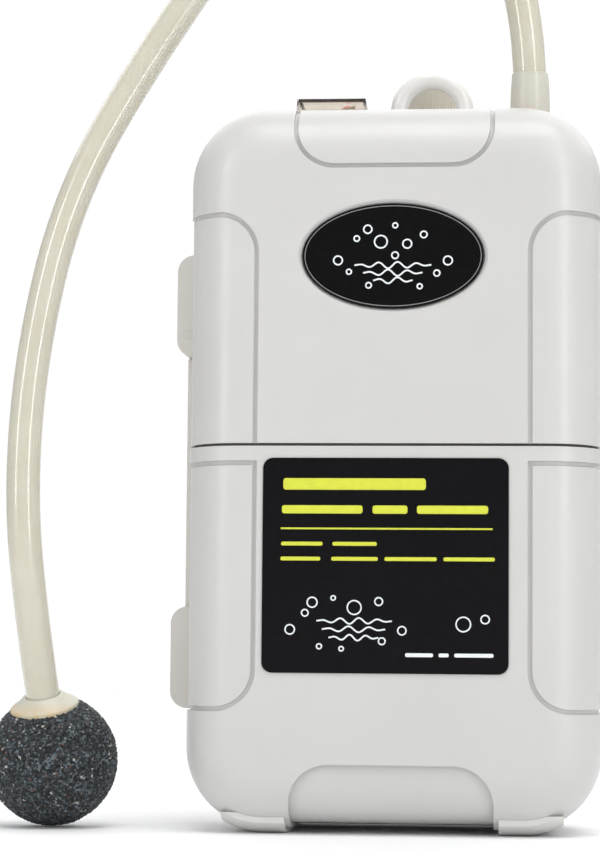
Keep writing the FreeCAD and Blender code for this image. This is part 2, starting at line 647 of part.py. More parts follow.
def belt_clip():
    """Belt clip with its jaw, thumb pad, pin and torsion spring."""
    jaw = slab("clip_jaw", ("clip_x - jaw_half", "clip_x + jaw_half"), ("clip_inner", "clip_outer"),
               ("jaw_low", "clip_z - 5"), [(f"clip_x {sign} jaw_half", "jaw_low", "4") for sign in "-+"])
    nose_side = (("half_depth + 0.6", "jaw_low + 5"), ("clip_inner + 0.5", "jaw_low + 1"),
                 ("clip_inner + 0.5", "jaw_low + 9"))
    nose = padded("clip_nose", "YZ_Plane", nose_side, "clip_x - 6", "clip_x + 6")
    thumb = slab("clip_thumb", ("clip_x - thumb_half", "clip_x + thumb_half"),
                 ("thumb_inner", "thumb_outer"), ("clip_z + 4.5", "thumb_top"),
                 [(f"clip_x {sign} thumb_half", "thumb_top", "thumb_half - 0.1") for sign in "-+"])
    web = around_clip("clip_web", "3.7", ("clip_inner", "clip_outer + 0.8"), ("clip_z - 7", "clip_z + 7"))
    eye = rod("clip_eye", "3.2", ("clip_x - 3.7", "clip_y", "clip_z"), "7.4", "X")
    window = around_clip("clip_window", "1.9", ("0", "60"), ("clip_z - 3.6", "clip_z + 3.6"))
    bore = rod("clip_bore", f"clip_pin + {RUN_FIT}", ("clip_x - 20", "clip_y", "clip_z"), "40", "X")
    keep("belt_clip", cut("clip", join("clip_solid", jaw, nose, thumb, web, eye), window, bore))
    keep("clip_pin", rod("clip_pin_body", "clip_pin", ("clip_x - ear_out", "clip_y", "clip_z"),
                         "2 * ear_out", "X"))
    coil = rod("spring_coil", "2.7", ("clip_x - 1.6", "clip_y", "clip_z"), "3.2", "X")
    legs = [block("spring_leg_up", ("clip_x - 1.5", "clip_x - 0.9"), ("clip_y - 2.7", "clip_y - 2.1"),
                  ("clip_z", "clip_z + 9")),
            block("spring_leg_down", ("clip_x + 0.9", "clip_x + 1.5"), ("clip_y - 2.7", "clip_y - 2.1"),
                  ("clip_z - 9", "clip_z"))]
    room = rod("spring_bore", "clip_pin + 0.1", ("clip_x - 20", "clip_y", "clip_z"), "40", "X")
    keep("clip_spring", cut("spring", join("spring_solid", coil, *legs), room))


# --- motor and crank -----------------------------------------------------------------------
def motor():
    """Small DC motor in a saddle under a strap, with the crank on its shaft."""
    reach = "motor_end - motor_start"
    wall_out, wall_in = "motor_radius", "motor_radius - 0.8"
    hole = f"shaft_radius + {RUN_FIT}"
    can = ((wall_in, "0"), (wall_out, "0"), (wall_out, reach), ("3", reach), ("3", f"{reach} + 1"),
           (hole, f"{reach} + 1"), (hole, f"{reach} - 0.8"), (wall_in, f"{reach} - 0.8"))
    spot = ("motor_start", "motor_y", "motor_z")
    keep("motor_can", turned("motor_can", can, spot, "X"))
    cap = ((hole, "-2.4"), (wall_out, "-2.4"), (wall_out, "-0.02"), (f"{wall_in} - 0.02", "-0.02"),
           (f"{wall_in} - 0.02", "1"), (hole, "1"))
    blades = [block(f"cap_blade_{tag}", ("motor_start - 3.4", "motor_start - 2.3"),
                    (f"motor_y + {y} - 1", f"motor_y + {y} + 1"), ("motor_z - 0.8", "motor_z + 0.8"))
              for tag, y in (("front", -6), ("rear", 6))]
    keep("motor_end_cap", join("end_cap", turned("end_cap_body", cap, spot, "X"), *blades))
    core = ((f"shaft_radius + 0.02", "2"), ("7.4", "2"), ("7.4", f"{reach} - 2.5"),
            ("shaft_radius + 0.02", f"{reach} - 2.5"))
    keep("motor_armature", turned("motor_armature", core, spot, "X"))
    keep("motor_shaft", rod("motor_shaft_body", "shaft_radius", ("motor_start - 1.6", "motor_y", "motor_z"),
                            "shaft_end - 1.1 - motor_start + 1.6", "X"))
    disc = rod("crank_disc", "5", ("shaft_end - 2.8", "motor_y", "motor_z"), "2.8", "X")
    bore = rod("crank_bore", "shaft_radius", ("shaft_end - 5", "motor_y", "motor_z"), "3.9", "X")
    pin = rod("crank_pin", "shaft_radius", ("shaft_end - 1", "motor_y", "motor_z + throw"), "5", "X")
    keep("crank", join("crank", cut("crank_disc_bored", disc, bore), pin))
    foot = block("frame_foot", ("-27", "-10"), ("-13", "11"), ("base_top", "base_top + 1.5"))
    ribs = [block(f"frame_rib_{number}", (low, high), ("-9", "7"), ("base_top", "motor_z - 4"))
            for number, (low, high) in enumerate((("-27", "-24"), ("-13", "-10")))]
    nest = rod("frame_nest", "motor_radius + 0.05", ("-40", "motor_y", "motor_z"), "60", "X")
    keep("motor_frame", cut("frame", join("frame_solid", foot, *ribs), nest))
    hoop = rod("strap_hoop", "motor_radius + 1.1", ("-22", "motor_y", "motor_z"), "8", "X")
    outside, inside = ((f"motor_y - motor_radius - {room}", f"motor_y + motor_radius + {room}")
                       for room in (1.1, 0.1))
    legs = block("strap_legs", ("-22", "-14"), outside, ("base_top + 1.5", "motor_z"))
    nest_tall = block("strap_nest", ("-40", "20"), inside, ("0", "motor_z"))
    nest_round = rod("strap_room", "motor_radius + 0.1", ("-40", "motor_y", "motor_z"), "60", "X")
    keep("motor_strap", cut("strap", join("strap_solid", hoop, legs), nest_tall, nest_round))


def conrod():
    """Connecting rod from the crank pin down to just above the diaphragm."""
    low = "shaft_end + 0.7"
    start = (low, "motor_y", "motor_z + throw")
    eye = rod("conrod_eye", "2.6", start, "3", "X")
    shank = block("conrod_shank", (f"{low} + 0.5", f"{low} + 2.5"), ("motor_y - 1.2", "motor_y + 1.2"),
                  ("motor_z + throw - 13", "motor_z + throw - 1.5"))
    foot = rod("conrod_foot", "3", ("pump_x", "motor_y", "motor_z + throw - 14"), "1.2")
    bore = rod("conrod_bore", f"shaft_radius + {RUN_FIT}", ("-40", "motor_y", "motor_z + throw"), "80", "X")
    keep("conrod", cut("conrod", join("conrod_solid", eye, shank, foot), bore))


# --- diaphragm pump ------------------------------------------------------------------------
CLAMP_ANGLES = (45, 135, 225, 315)


def clamp_rods(name, radius, low, length):
    """A cylinder along Z at each clamp screw."""
    spread = 9.0
    return [rod(f"{name}_{angle}", radius,
                (f"pump_x + {spread * math.cos(math.radians(angle)):.4f}",
                 f"motor_y + {spread * math.sin(math.radians(angle)):.4f}", low), length)
            for angle in CLAMP_ANGLES]


def pump():
    """Diaphragm pump: chamber, valves, diaphragm, clamp ring, screws and intake filter."""
    spot = ("pump_x", "motor_y", "0")
    gallery = (("0", "base_top"), ("pump_radius", "base_top"), ("pump_radius", "chamber_top"),
               ("7.5", "chamber_top"), ("7.5", "80"), ("6", "80"), ("6", "78"), ("0", "78"))
    barb = rod("chamber_barb", "1.9", ("pump_x + 9", "motor_y", "79.2"), "6.6", "X")
    air_way = rod("chamber_air_way", "1.1", ("pump_x + 3", "motor_y", "79.2"), "20", "X")
    intake = rod("chamber_intake", "1", ("pump_x", "motor_y - 20", "83"), "14", "Y")
    holes = clamp_rods("chamber_hole", "0.65", "80.5", "20")
    keep("pump_chamber", cut("chamber", join("chamber_solid", turned("chamber_body", gallery, spot), barb),
                             air_way, intake, *holes))
    plate = rod("valve_disc", "7.4", ("pump_x", "motor_y", "80"), "1.5")
    ports = [rod(f"valve_port_{number}", "0.9", (f"pump_x + {x}", "motor_y", "70"), "20")
             for number, x in enumerate((-3.6, 3.6))]
    keep("valve_plate", cut("valve_plate", plate, *ports))
    sides = (("flap_in", "pump_x - 3.6", "81.5"), ("flap_out", "pump_x + 3.6", "79.6"))
    flaps = [rod(name, "2.2", (x, "motor_y", low), "0.4") for name, x, low in sides]
    keep("valve_flaps", group("valve_flaps", *flaps))
    roof = "chamber_top + diaphragm"
    skin = (("0", "chamber_top"), ("pump_radius - 0.2", "chamber_top"), ("pump_radius - 0.2", roof),
            ("2.5", roof), ("2.5", f"{roof} + 1.4"), ("0", f"{roof} + 1.4"))
    keep("diaphragm", cut("diaphragm", turned("diaphragm_body", skin, spot),
                          *clamp_rods("diaphragm_hole", "0.65", "80", "20")))
    ring = (("clamp_hole", roof), ("pump_radius", roof), ("pump_radius", f"{roof} + clamp"),
            ("clamp_hole", f"{roof} + clamp"))
    keep("diaphragm_clamp", cut("clamp", turned("clamp_body", ring, spot),
                                *clamp_rods("clamp_hole_cut", "0.65", "80", "20")))
    heads = clamp_rods("clamp_head", "1.4", f"{roof} + clamp", "0.9")
    shanks = clamp_rods("clamp_shank", "0.6", "81", f"{roof} + clamp - 81")
    keep("clamp_screws", group("clamp_screws", *[join(f"clamp_screw_{number}", *pair)
                                                 for number, pair in enumerate(zip(heads, shanks))]))
    keep("intake_filter", rod("intake_filter_body", "3", ("pump_x", "motor_y - pump_radius - 3.6", "83"),
                              "3.5", "Y"))


# --- hoses and wires -----------------------------------------------------------------------
def bent_tube(label, route, radius):
    """Tube of straight runs and tangent arcs through a route about the housing's middle."""
    spots = [Vector(*point) for point in route]
    runs = [(after - before).Length for before, after in zip(spots, spots[1:])]
    ways = [(after - before).normalize() for before, after in zip(spots, spots[1:])]
    edges, last, radii = [], spots[0], []
    for number in range(1, len(spots) - 1):
        into, out = ways[number - 1], ways[number]
        half_turn = into.getAngle(out) / 2
        cutback = 0.45 * min(runs[number - 1], runs[number])
        bend = cutback / math.tan(half_turn)
        radii.append(bend)
        start, end = spots[number] - into * cutback, spots[number] + out * cutback
        inward = (out - into).normalize()
        middle = spots[number] + inward * (bend / math.cos(half_turn) - bend)
        edges.append(Part.LineSegment(last, start).toShape())
        edges.append(Part.Arc(start, middle, end).toShape())
        last = end
    edges.append(Part.LineSegment(last, spots[-1]).toShape())
    path = Part.Wire(edges)
    ring = Part.Wire([Part.Circle(spots[0], ways[0], radius).toShape()])
    solid = path.makePipeShell([ring], True, False)
    wanted = math.pi * radius ** 2 * path.Length
    if abs(solid.Volume / wanted - 1) > 0.01:
        raise ValueError(f"{label}: volume {solid.Volume:.1f}, expected {wanted:.1f}")
    tube = doc.addObject("Part::Feature", label)
    tube.Shape = solid
    tube.Placement = Placement(Vector(value("frame_shift_x"), value("frame_shift_y"), 0), Rotation())
    print(f"{label}: length {path.Length:.1f} mm, bends", " ".join(f"{bend:.1f}" for bend in radii))
    keep(label, tube)


WIRE_RADIUS = 0.6
AIR_LINE_RADIUS = 2.4
HOSE_ROUTE = (
    (24.9, 1.5, 137.1), (24.9, 1.5, 160.6), (12.3, 1.2, 177.6), (-8.0, 0.0, 184.0),
    (-27.6, -1.5, 176.6), (-48.9, -4.0, 144.2), (-62.2, -7.5, 118.2), (-67.9, -12.0, 88.6),
    (-69.1, -14.5, 61.2), (-66.9, -11.8, 37.3), (-65.4, -7.6, 23.8),
)


def hose_and_stone():
    """Hose along its route, and the stone with its nipple on the hose's last run."""
    bent_tube("hose", HOSE_ROUTE, value("hose_radius"))
    mouth, before = Vector(*HOSE_ROUTE[-1]), Vector(*HOSE_ROUTE[-2])
    way = (before - mouth).normalize()
    turn = Rotation(Vector(0, 0, 1), way)
    middle = mouth - way * value("stone_to_hose")

    def along(thing, distance):
        """Stand a piece on the stone's axis, a distance from the stone's middle."""
        spot = middle + way * distance
        thing.Placement = Placement(Vector(), turn)
        place(thing, (round(spot.x, 3), round(spot.y, 3), round(spot.z, 3)))
        return thing

    ball = doc.addObject("Part::Sphere", "stone_ball")
    ball.setExpression("Radius", sized("stone_radius"))
    seat = doc.addObject("Part::Cylinder", "stone_seat")
    seat.setExpression("Radius", sized("nipple_disc + 0.05"))
    seat.setExpression("Height", "10")
    stem_hole = doc.addObject("Part::Cylinder", "stone_stem_hole")
    stem_hole.Radius = 1.75
    stem_hole.Height = 20
    keep("air_stone", cut("stone", along(ball, 0), along(seat, 10.0), along(stem_hole, 1.0)))
    profile = (("0", "-8"), ("1.7", "-8"), ("1.7", "0"), ("nipple_disc", "0"), ("nipple_disc", "0.9"),
               ("4.2", "1.6"), ("4.2", "2"), ("0", "2"))
    keep("stone_nipple", along(turned("stone_nipple", profile, ("0", "0", "0")), 10.0))


def inner_lines():
    """Air line from the chamber to the nozzle, and the three wires."""
    blade_top = value("top") - 15.2
    left_blade, right_blade = value("switch_x") - 2.7, value("switch_x") + 2.7
    bent_tube("air_line", ((17.1, -1, 79.2), (24.9, -1, 79.2), (24.9, -1, 92), (24.9, 1.5, 105),
                           (24.9, 1.5, 117.8)), AIR_LINE_RADIUS)
    bent_tube("wire_positive", ((-24, 12, 78), (-24.5, 13.2, 98), (-20, 12.6, 112),
                                (left_blade, 9, blade_top), (left_blade, 0.1, blade_top)), WIRE_RADIUS)
    bent_tube("wire_motor", ((right_blade, 0.1, blade_top), (right_blade, 8, blade_top), (-20, 12.8, 117),
                             (-31.5, 10, 112.5), (-34.1, 5, 109.5), (-33.05, 5, 104.9)), WIRE_RADIUS)
    bent_tube("wire_negative", ((-33.05, -7, 103.1), (-33.6, -8.5, 94), (-27, -14, 87),
                                (-19.5, -15.4, 79), (0, -16.2, 78.4), (17, -15, 77.6),
                                (23, -11.2, 77.3), (23, -5.75, 77.3)), WIRE_RADIUS)


for build in (battery_cup, feet, cells, cell_cradle, upper_front_shell, upper_rear_shell, housing_screws,
              head_base, contacts, badge_plate, hang_ring, switch, switch_boot, outlet, latch, belt_clip,
              motor, conrod, pump, hose_and_stone, inner_lines):
    build()
doc.recompute()

# --- checks and export ---------------------------------------------------------------------
for thing in doc.Objects:
    if set(thing.State) & {"Invalid", "Error"}:
        raise RuntimeError(f"{thing.Name} failed: {thing.State}")
box = FreeCAD.BoundBox()
for label, thing in nodes.items():
    shape = thing.Shape
    if shape.isNull() or not shape.isValid() or not shape.Solids:
        raise RuntimeError(f"{label} has no valid solid")
    if label not in ("hose", "air_stone", "stone_nipple"):
        box.add(shape.optimalBoundingBox(False, False))
for label, thing in nodes.items():
    thing.Shape.exportStep(f"parts/{label}.step")
print(f"{len(nodes)} nodes; footprint middle {box.Center.x:.3f} {box.Center.y:.3f}, lowest {box.ZMin:.3f}")
print(f"size {box.XLength:.2f} x {box.YLength:.2f} x {box.ZLength:.2f}")
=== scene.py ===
"""Portable battery air pump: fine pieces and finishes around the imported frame.

Lengths in the classes are millimetres about the housing's own middle, on the surface that
the pump stands on; `at` and `Shaper` carry them into the frame's metres.
"""
import logging
import math
from dataclasses import dataclass, field
from enum import Enum

import bmesh
import bpy
from mathutils import Euler, Matrix, Vector, noise


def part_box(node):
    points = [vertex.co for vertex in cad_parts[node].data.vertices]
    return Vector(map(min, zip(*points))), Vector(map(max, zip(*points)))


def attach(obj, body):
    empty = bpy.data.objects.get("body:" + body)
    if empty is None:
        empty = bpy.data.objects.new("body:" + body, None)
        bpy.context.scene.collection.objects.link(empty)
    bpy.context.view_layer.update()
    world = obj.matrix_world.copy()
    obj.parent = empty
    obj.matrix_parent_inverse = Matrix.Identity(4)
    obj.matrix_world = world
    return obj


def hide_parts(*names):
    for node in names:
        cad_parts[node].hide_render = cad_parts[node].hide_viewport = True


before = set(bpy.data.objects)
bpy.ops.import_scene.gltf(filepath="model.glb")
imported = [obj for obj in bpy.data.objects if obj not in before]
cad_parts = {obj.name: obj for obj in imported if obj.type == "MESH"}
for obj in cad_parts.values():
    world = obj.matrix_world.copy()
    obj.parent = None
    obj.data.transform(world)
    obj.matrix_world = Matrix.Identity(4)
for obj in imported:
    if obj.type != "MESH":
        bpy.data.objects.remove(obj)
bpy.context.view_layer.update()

MM = 0.001
SMOOTH_ANGLE = math.radians(32.0)
RIM_ANGLE = math.radians(30.0)
log = logging.getLogger("air_pump")


def housing_middle() -> Vector:
    """Middle of the housing's footprint in the frame, in metres."""
    low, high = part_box("battery_cup")
    return Vector(((low.x + high.x) / 2, (low.y + high.y) / 2, 0.0))


MIDDLE = housing_middle()


def at(x: float, y: float, z: float) -> Vector:
    """Carry a place about the housing's middle into the frame.

    Args:
        x, y, z: the place in millimetres.

    Returns:
        The place in the frame, in metres.
    """
    return Vector((x, y, z)) * MM + MIDDLE


class Body(Enum):
    """The frame's bodies that carry pieces made here."""

    CUP = "battery_cup"
    HEAD = "pump_head"
    CLIP = "belt_clip"


class Along(Enum):
    """Rotation that lays a +Z profile along an axis."""

    Y = Euler((-math.pi / 2, 0.0, 0.0))
    Z = Euler((0.0, 0.0, 0.0))


# --- node graphs ---------------------------------------------------------------------------
class Graph:
    """A material's node graph, written from left to right."""

    def __init__(self, name: str) -> None:
        """Start an empty material with a surface shader and an output."""
        self.material = bpy.data.materials.new(name)
        self.material.use_nodes = True
        self.tree = self.material.node_tree
        self.tree.nodes.clear()
        self.shader = self.node("ShaderNodeBsdfPrincipled")
        self.output = self.node("ShaderNodeOutputMaterial")
        self.join(self.shader.outputs["BSDF"], self.output.inputs["Surface"])
        self.place = self.node("ShaderNodeTexCoord").outputs["Object"]

    def node(self, kind: str, **settings: object) -> bpy.types.Node:
        """Add a node and set its own properties.

        Args:
            kind: the node's type.
            settings: the node's properties by name.

        Returns:
            The new node.
        """
        made = self.tree.nodes.new(kind)
        for name, setting in settings.items():
            setattr(made, name, setting)
        return made

    def join(self, start: bpy.types.NodeSocket, end: bpy.types.NodeSocket) -> None:
        """Link an output to an input."""
        self.tree.links.new(start, end)

    def noise(self, scale: float, detail: float = 2.0, roughness: float = 0.5) -> bpy.types.NodeSocket:
        """Noise over the object's own coordinates.

        Args:
            scale: cells for each metre.
            detail: how many finer layers it has.
            roughness: how strong the finer layers are.

        Returns:
            The noise's value, from 0 to 1.
        """
        made = self.node("ShaderNodeTexNoise")
        made.inputs["Scale"].default_value = scale
        made.inputs["Detail"].default_value = detail
        made.inputs["Roughness"].default_value = roughness
        self.join(self.place, made.inputs["Vector"])
        return made.outputs["Fac"]

    def cells(self, scale: float, output: str = "Distance") -> bpy.types.NodeSocket:
        """Voronoi cells over the object's own coordinates.

        Args:
            scale: cells for each metre.
            output: which of the node's outputs is wanted.

        Returns:
            That output.
        """
        made = self.node("ShaderNodeTexVoronoi")
        made.inputs["Scale"].default_value = scale
        self.join(self.place, made.inputs["Vector"])
        return made.outputs[output]

    def span(self, value: bpy.types.NodeSocket, low: float, high: float,
             new_low: float, new_high: float) -> bpy.types.NodeSocket:
        """Carry one stretch of values to another.

        Args:
            value: the value to carry.
            low: start of its stretch.
            high: end of its stretch.
            new_low: what low becomes.
            new_high: what high becomes.

        Returns:
            The carried value.
        """
        made = self.node("ShaderNodeMapRange")
        self.join(value, made.inputs["Value"])
        for name, number in zip(("From Min", "From Max", "To Min", "To Max"),
                                (low, high, new_low, new_high)):
            made.inputs[name].default_value = number
        return made.outputs["Result"]

    def blend(self, share: bpy.types.NodeSocket, first: "Colour | bpy.types.NodeSocket",
              second: "Colour | bpy.types.NodeSocket") -> bpy.types.NodeSocket:
        """Mix two colours.

        Args:
            share: how much of the second colour there is, from 0 to 1.
            first: a colour, or a socket that gives one.
            second: the same.

        Returns:
            The mixed colour.
        """
        made = self.node("ShaderNodeMix", data_type="RGBA")
        self.join(share, made.inputs[0])
        for socket, colour in ((made.inputs[6], first), (made.inputs[7], second)):
            if isinstance(colour, bpy.types.NodeSocket):
                self.join(colour, socket)
            else:
                socket.default_value = (*colour, 1.0)
        return made.outputs[2]

    def times(self, first: bpy.types.NodeSocket, second: bpy.types.NodeSocket) -> bpy.types.NodeSocket:
        """Multiply two values.

        Args:
            first: a value.
            second: another.

        Returns:
            Their product.
        """
        made = self.node("ShaderNodeMath", operation="MULTIPLY")
        self.join(first, made.inputs[0])
        self.join(second, made.inputs[1])
        return made.outputs[0]

    def relief(self, height: bpy.types.NodeSocket, depth: float, strength: float,
               below: bpy.types.NodeSocket | None = None) -> bpy.types.NodeSocket:
        """Bump a surface.

        Args:
            height: the bump's height, from 0 to 1.
            depth: what a height of 1 stands for, in metres.
            strength: how much of it shows, from 0 to 1.
            below: the normal that it lies on.

        Returns:
            The bumped normal.
        """
        made = self.node("ShaderNodeBump")
        made.inputs["Strength"].default_value = strength
        made.inputs["Distance"].default_value = depth
        self.join(height, made.inputs["Height"])
        if below is not None:
            self.join(below, made.inputs["Normal"])
        return made.outputs["Normal"]

    def eased_edges(self, radius: float) -> bpy.types.NodeSocket:
        """Turn the normal softly over edges, as moulded edges do.

        Args:
            radius: the rounding's radius in metres.

        Returns:
            The softened normal.
        """
        made = self.node("ShaderNodeBevel", samples=6)
        made.inputs["Radius"].default_value = radius
        return made.outputs["Normal"]

    def hollow(self, reach: float) -> bpy.types.NodeSocket:
        """Tell how open a place is.

        Args:
            reach: how far a wall still counts, in metres.

        Returns:
            Nearly 0 deep in a groove and 1 in the open.
        """
        made = self.node("ShaderNodeAmbientOcclusion", samples=6, only_local=True)
        made.inputs["Distance"].default_value = reach
        return made.outputs["AO"]


# --- finishes ------------------------------------------------------------------------------
Colour = tuple[float, float, float]


@dataclass(frozen=True)
class Finish:
    """What every finish has: a name, a colour and how rough it is."""

    name: str
    colour: Colour
    roughness: float

    def shade(self, graph: Graph) -> None:
        """Paint the graph of one material; each finish has its own way."""
        raise NotImplementedError

    def material(self) -> bpy.types.Material:
        """Make the finish's material, or find it when it is already made.

        Returns:
            The material.
        """
        known = bpy.data.materials.get(f"{self.name}_look")
        if known:
            return known
        graph = Graph(f"{self.name}_look")
        graph.shader.inputs["Base Color"].default_value = (*self.colour, 1.0)
        graph.shader.inputs["Roughness"].default_value = self.roughness
        self.shade(graph)
        return graph.material


@dataclass(frozen=True)
class Moulded(Finish):
    """Moulded plastic or rubber: spark-eroded grain, slight mottling and painted shade in its grooves."""

    aged: Colour = (0.70, 0.67, 0.58)
    grain_scale: float = 2600.0
    grain_depth: float = 0.00002
    grain: float = 0.25
    edge: float = 0.00025
    # painted shade: how much darker the colour turns in grooves and recesses
    painted_groove_shade: float = 0.0
    coat: float = 0.0
    subsurface: float = 0.0

    def shade(self, graph: Graph) -> None:
        """Mottled colour, uneven gloss and a fine grain.

        Args:
            graph: the material's graph.
        """
        mottle = graph.span(graph.noise(45.0, 3.0), 0.35, 0.7, 0.0, 0.35)
        colour = graph.blend(mottle, self.colour, self.aged)
        # painted shade: the colour turns darker deep in grooves and recesses, where ambient occlusion finds
        # walls close by
        if self.painted_groove_shade > 0.0:
            shade = graph.span(graph.hollow(0.0016), 0.25, 0.85, self.painted_groove_shade, 0.0)
            colour = graph.blend(shade, colour, tuple(part * 0.42 for part in self.aged))
        graph.join(colour, graph.shader.inputs["Base Color"])
        gloss = graph.span(graph.noise(220.0, 4.0), 0.3, 0.7, self.roughness - 0.05, self.roughness + 0.06)
        graph.join(gloss, graph.shader.inputs["Roughness"])
        eased = graph.eased_edges(self.edge) if self.edge > 0.0 else None
        fine = graph.noise(self.grain_scale, 3.0, 0.6)
        graph.join(graph.relief(fine, self.grain_depth, self.grain, eased), graph.shader.inputs["Normal"])
        graph.shader.inputs["Coat Weight"].default_value = self.coat
        graph.shader.inputs["Subsurface Weight"].default_value = self.subsurface
        graph.shader.inputs["Subsurface Scale"].default_value = 0.002


@dataclass(frozen=True)
class Metal(Finish):
    """Drawn, ground or plated metal with fine scratches along one way."""

    scratches: float = 0.3
    tarnish: Colour = (0.30, 0.27, 0.22)

    def shade(self, graph: Graph) -> None:
        """Metal with streaks, and tarnish in patches.

        Args:
            graph: the material's graph.
        """
        graph.shader.inputs["Metallic"].default_value = 1.0
        patches = graph.span(graph.noise(160.0, 4.0), 0.5, 0.8, 0.0, 0.5)
        graph.join(graph.blend(patches, self.colour, self.tarnish), graph.shader.inputs["Base Color"])
        stretch = graph.node("ShaderNodeMapping")
        stretch.inputs["Scale"].default_value = (200.0, 5200.0, 5200.0)
        graph.join(graph.place, stretch.inputs["Vector"])
        streaks = graph.node("ShaderNodeTexNoise")
        streaks.inputs["Scale"].default_value = 1.0
        graph.join(stretch.outputs["Vector"], streaks.inputs["Vector"])
        rough = graph.span(streaks.outputs["Fac"], 0.3, 0.7, self.roughness - 0.07, self.roughness + 0.1)
        graph.join(rough, graph.shader.inputs["Roughness"])
        normal = graph.relief(streaks.outputs["Fac"], 0.000008, self.scratches, graph.eased_edges(0.00008))
        graph.join(normal, graph.shader.inputs["Normal"])


@dataclass(frozen=True)
class Film(Finish):
    """Printed or lacquered film: even colour, a thin gloss coat and faint handling marks."""

    coat: float = 0.0
    specular: float = 0.5
    marks: float = 0.08

    def shade(self, graph: Graph) -> None:
        """Uneven gloss under a coat.

        Args:
            graph: the material's graph.
        """
        smear = graph.noise(90.0, 5.0, 0.65)
        rough = graph.span(smear, 0.35, 0.75, self.roughness, self.roughness + self.marks)
        graph.join(rough, graph.shader.inputs["Roughness"])
        tone = graph.span(graph.noise(700.0, 2.0), 0.3, 0.7, 0.0, 0.3)
        lighter = tuple(min(1.0, part * 1.25 + 0.004) for part in self.colour)
        graph.join(graph.blend(tone, self.colour, lighter), graph.shader.inputs["Base Color"])
        graph.join(graph.relief(smear, 0.00002, 0.05, graph.eased_edges(0.00012)),
                   graph.shader.inputs["Normal"])
        graph.shader.inputs["Specular IOR Level"].default_value = self.specular
        graph.shader.inputs["Coat Weight"].default_value = self.coat
        graph.shader.inputs["Coat Roughness"].default_value = 0.12


@dataclass(frozen=True)
class Vinyl(Finish):
    """Soft translucent tube: light travels inside it, and its surface is slightly wavy."""

    through: float = 0.25
    yellowed: Colour = (0.59, 0.555, 0.435)

    def shade(self, graph: Graph) -> None:
        """Cloudy translucent body with a smooth skin.

        Args:
            graph: the material's graph.
        """
        cloud = graph.span(graph.noise(130.0, 3.0), 0.35, 0.7, 0.0, 0.45)
        graph.join(graph.blend(cloud, self.colour, self.yellowed), graph.shader.inputs["Base Color"])
        gloss = graph.span(graph.noise(420.0, 3.0), 0.3, 0.7, self.roughness - 0.04, self.roughness + 0.08)
        graph.join(gloss, graph.shader.inputs["Roughness"])
        graph.join(graph.relief(graph.noise(260.0, 2.0), 0.00006, 0.25), graph.shader.inputs["Normal"])
        graph.shader.inputs["Subsurface Weight"].default_value = 0.35
        graph.shader.inputs["Subsurface Scale"].default_value = 0.001
        graph.shader.inputs["Subsurface Radius"].default_value = (1.0, 0.85, 0.6)
        graph.shader.inputs["Transmission Weight"].default_value = self.through
        graph.shader.inputs["IOR"].default_value = 1.5
        graph.shader.inputs["Coat Weight"].default_value = 0.6
        graph.shader.inputs["Coat Roughness"].default_value = 0.09


@dataclass(frozen=True)
class Clear(Finish):
    """Clear soft plastic, slightly grey and faintly rubbed."""

    def shade(self, graph: Graph) -> None:
        """Glass-like body with rubbed patches.

        Args:
            graph: the material's graph.
        """
        graph.shader.inputs["Transmission Weight"].default_value = 1.0
        graph.shader.inputs["IOR"].default_value = 1.46
        rubbed = graph.span(graph.noise(900.0, 3.0), 0.55, 0.8, self.roughness, self.roughness + 0.05)
        graph.join(rubbed, graph.shader.inputs["Roughness"])


@dataclass(frozen=True)
class BondedStone(Finish):
    """Mineral grains bonded into a porous stone: mostly dark, with pale and rusty ones."""

    pale: Colour = (0.62, 0.60, 0.56)
    rusty: Colour = (0.24, 0.10, 0.06)
    grain_scale: float = 2500.0

    def shade(self, graph: Graph) -> None:
        """Every grain has its own tone; a few are pale or rusty.

        Args:
            graph: the material's graph.
        """
        pick = graph.node("ShaderNodeSeparateColor")
        graph.join(graph.cells(self.grain_scale, "Color"), pick.inputs[0])
        squared = graph.times(pick.outputs[0], pick.outputs[0])
        grain_tone = graph.times(squared, squared)
        dark = graph.blend(grain_tone, tuple(part * 0.3 for part in self.colour),
                           tuple(part * 15.0 for part in self.colour))
        pale_share = graph.span(pick.outputs[1], 0.975, 0.99, 0.0, 0.8)
        rust_share = graph.span(pick.outputs[2], 0.985, 0.995, 0.0, 0.6)
        tone = graph.blend(rust_share, graph.blend(pale_share, dark, self.pale), self.rusty)
        graph.join(tone, graph.shader.inputs["Base Color"])
        shine = graph.span(pick.outputs[0], 0.0, 1.0, self.roughness - 0.25, self.roughness + 0.1)
        graph.join(shine, graph.shader.inputs["Roughness"])
        rough = graph.relief(graph.cells(self.grain_scale), 0.00035, 0.9)
        graph.join(graph.relief(graph.noise(6000.0, 3.0), 0.00005, 0.5, rough), graph.shader.inputs["Normal"])


@dataclass(frozen=True)
class WornCollar(Finish):
    """Cream collar whose low rim has turned orange-brown."""

    low: float = 0.0205
    high: float = 0.0232
    stained: Colour = (0.60, 0.44, 0.22)

    def shade(self, graph: Graph) -> None:
        """Stain from the low rim up, broken by noise.

        Args:
            graph: the material's graph.
        """
        split = graph.node("ShaderNodeSeparateXYZ")
        graph.join(graph.place, split.inputs[0])
        height = graph.span(split.outputs["Z"], self.low, self.high, 1.0, 0.0)
        patchy = graph.times(height, graph.span(graph.noise(500.0, 4.0), 0.3, 0.6, 0.25, 1.0))
        graph.join(graph.blend(patchy, self.colour, self.stained), graph.shader.inputs["Base Color"])
        graph.join(graph.relief(graph.noise(1800.0, 3.0), 0.00005, 0.35, graph.eased_edges(0.0002)),
                   graph.shader.inputs["Normal"])
        graph.shader.inputs["Subsurface Weight"].default_value = 0.2
        graph.shader.inputs["Subsurface Scale"].default_value = 0.002


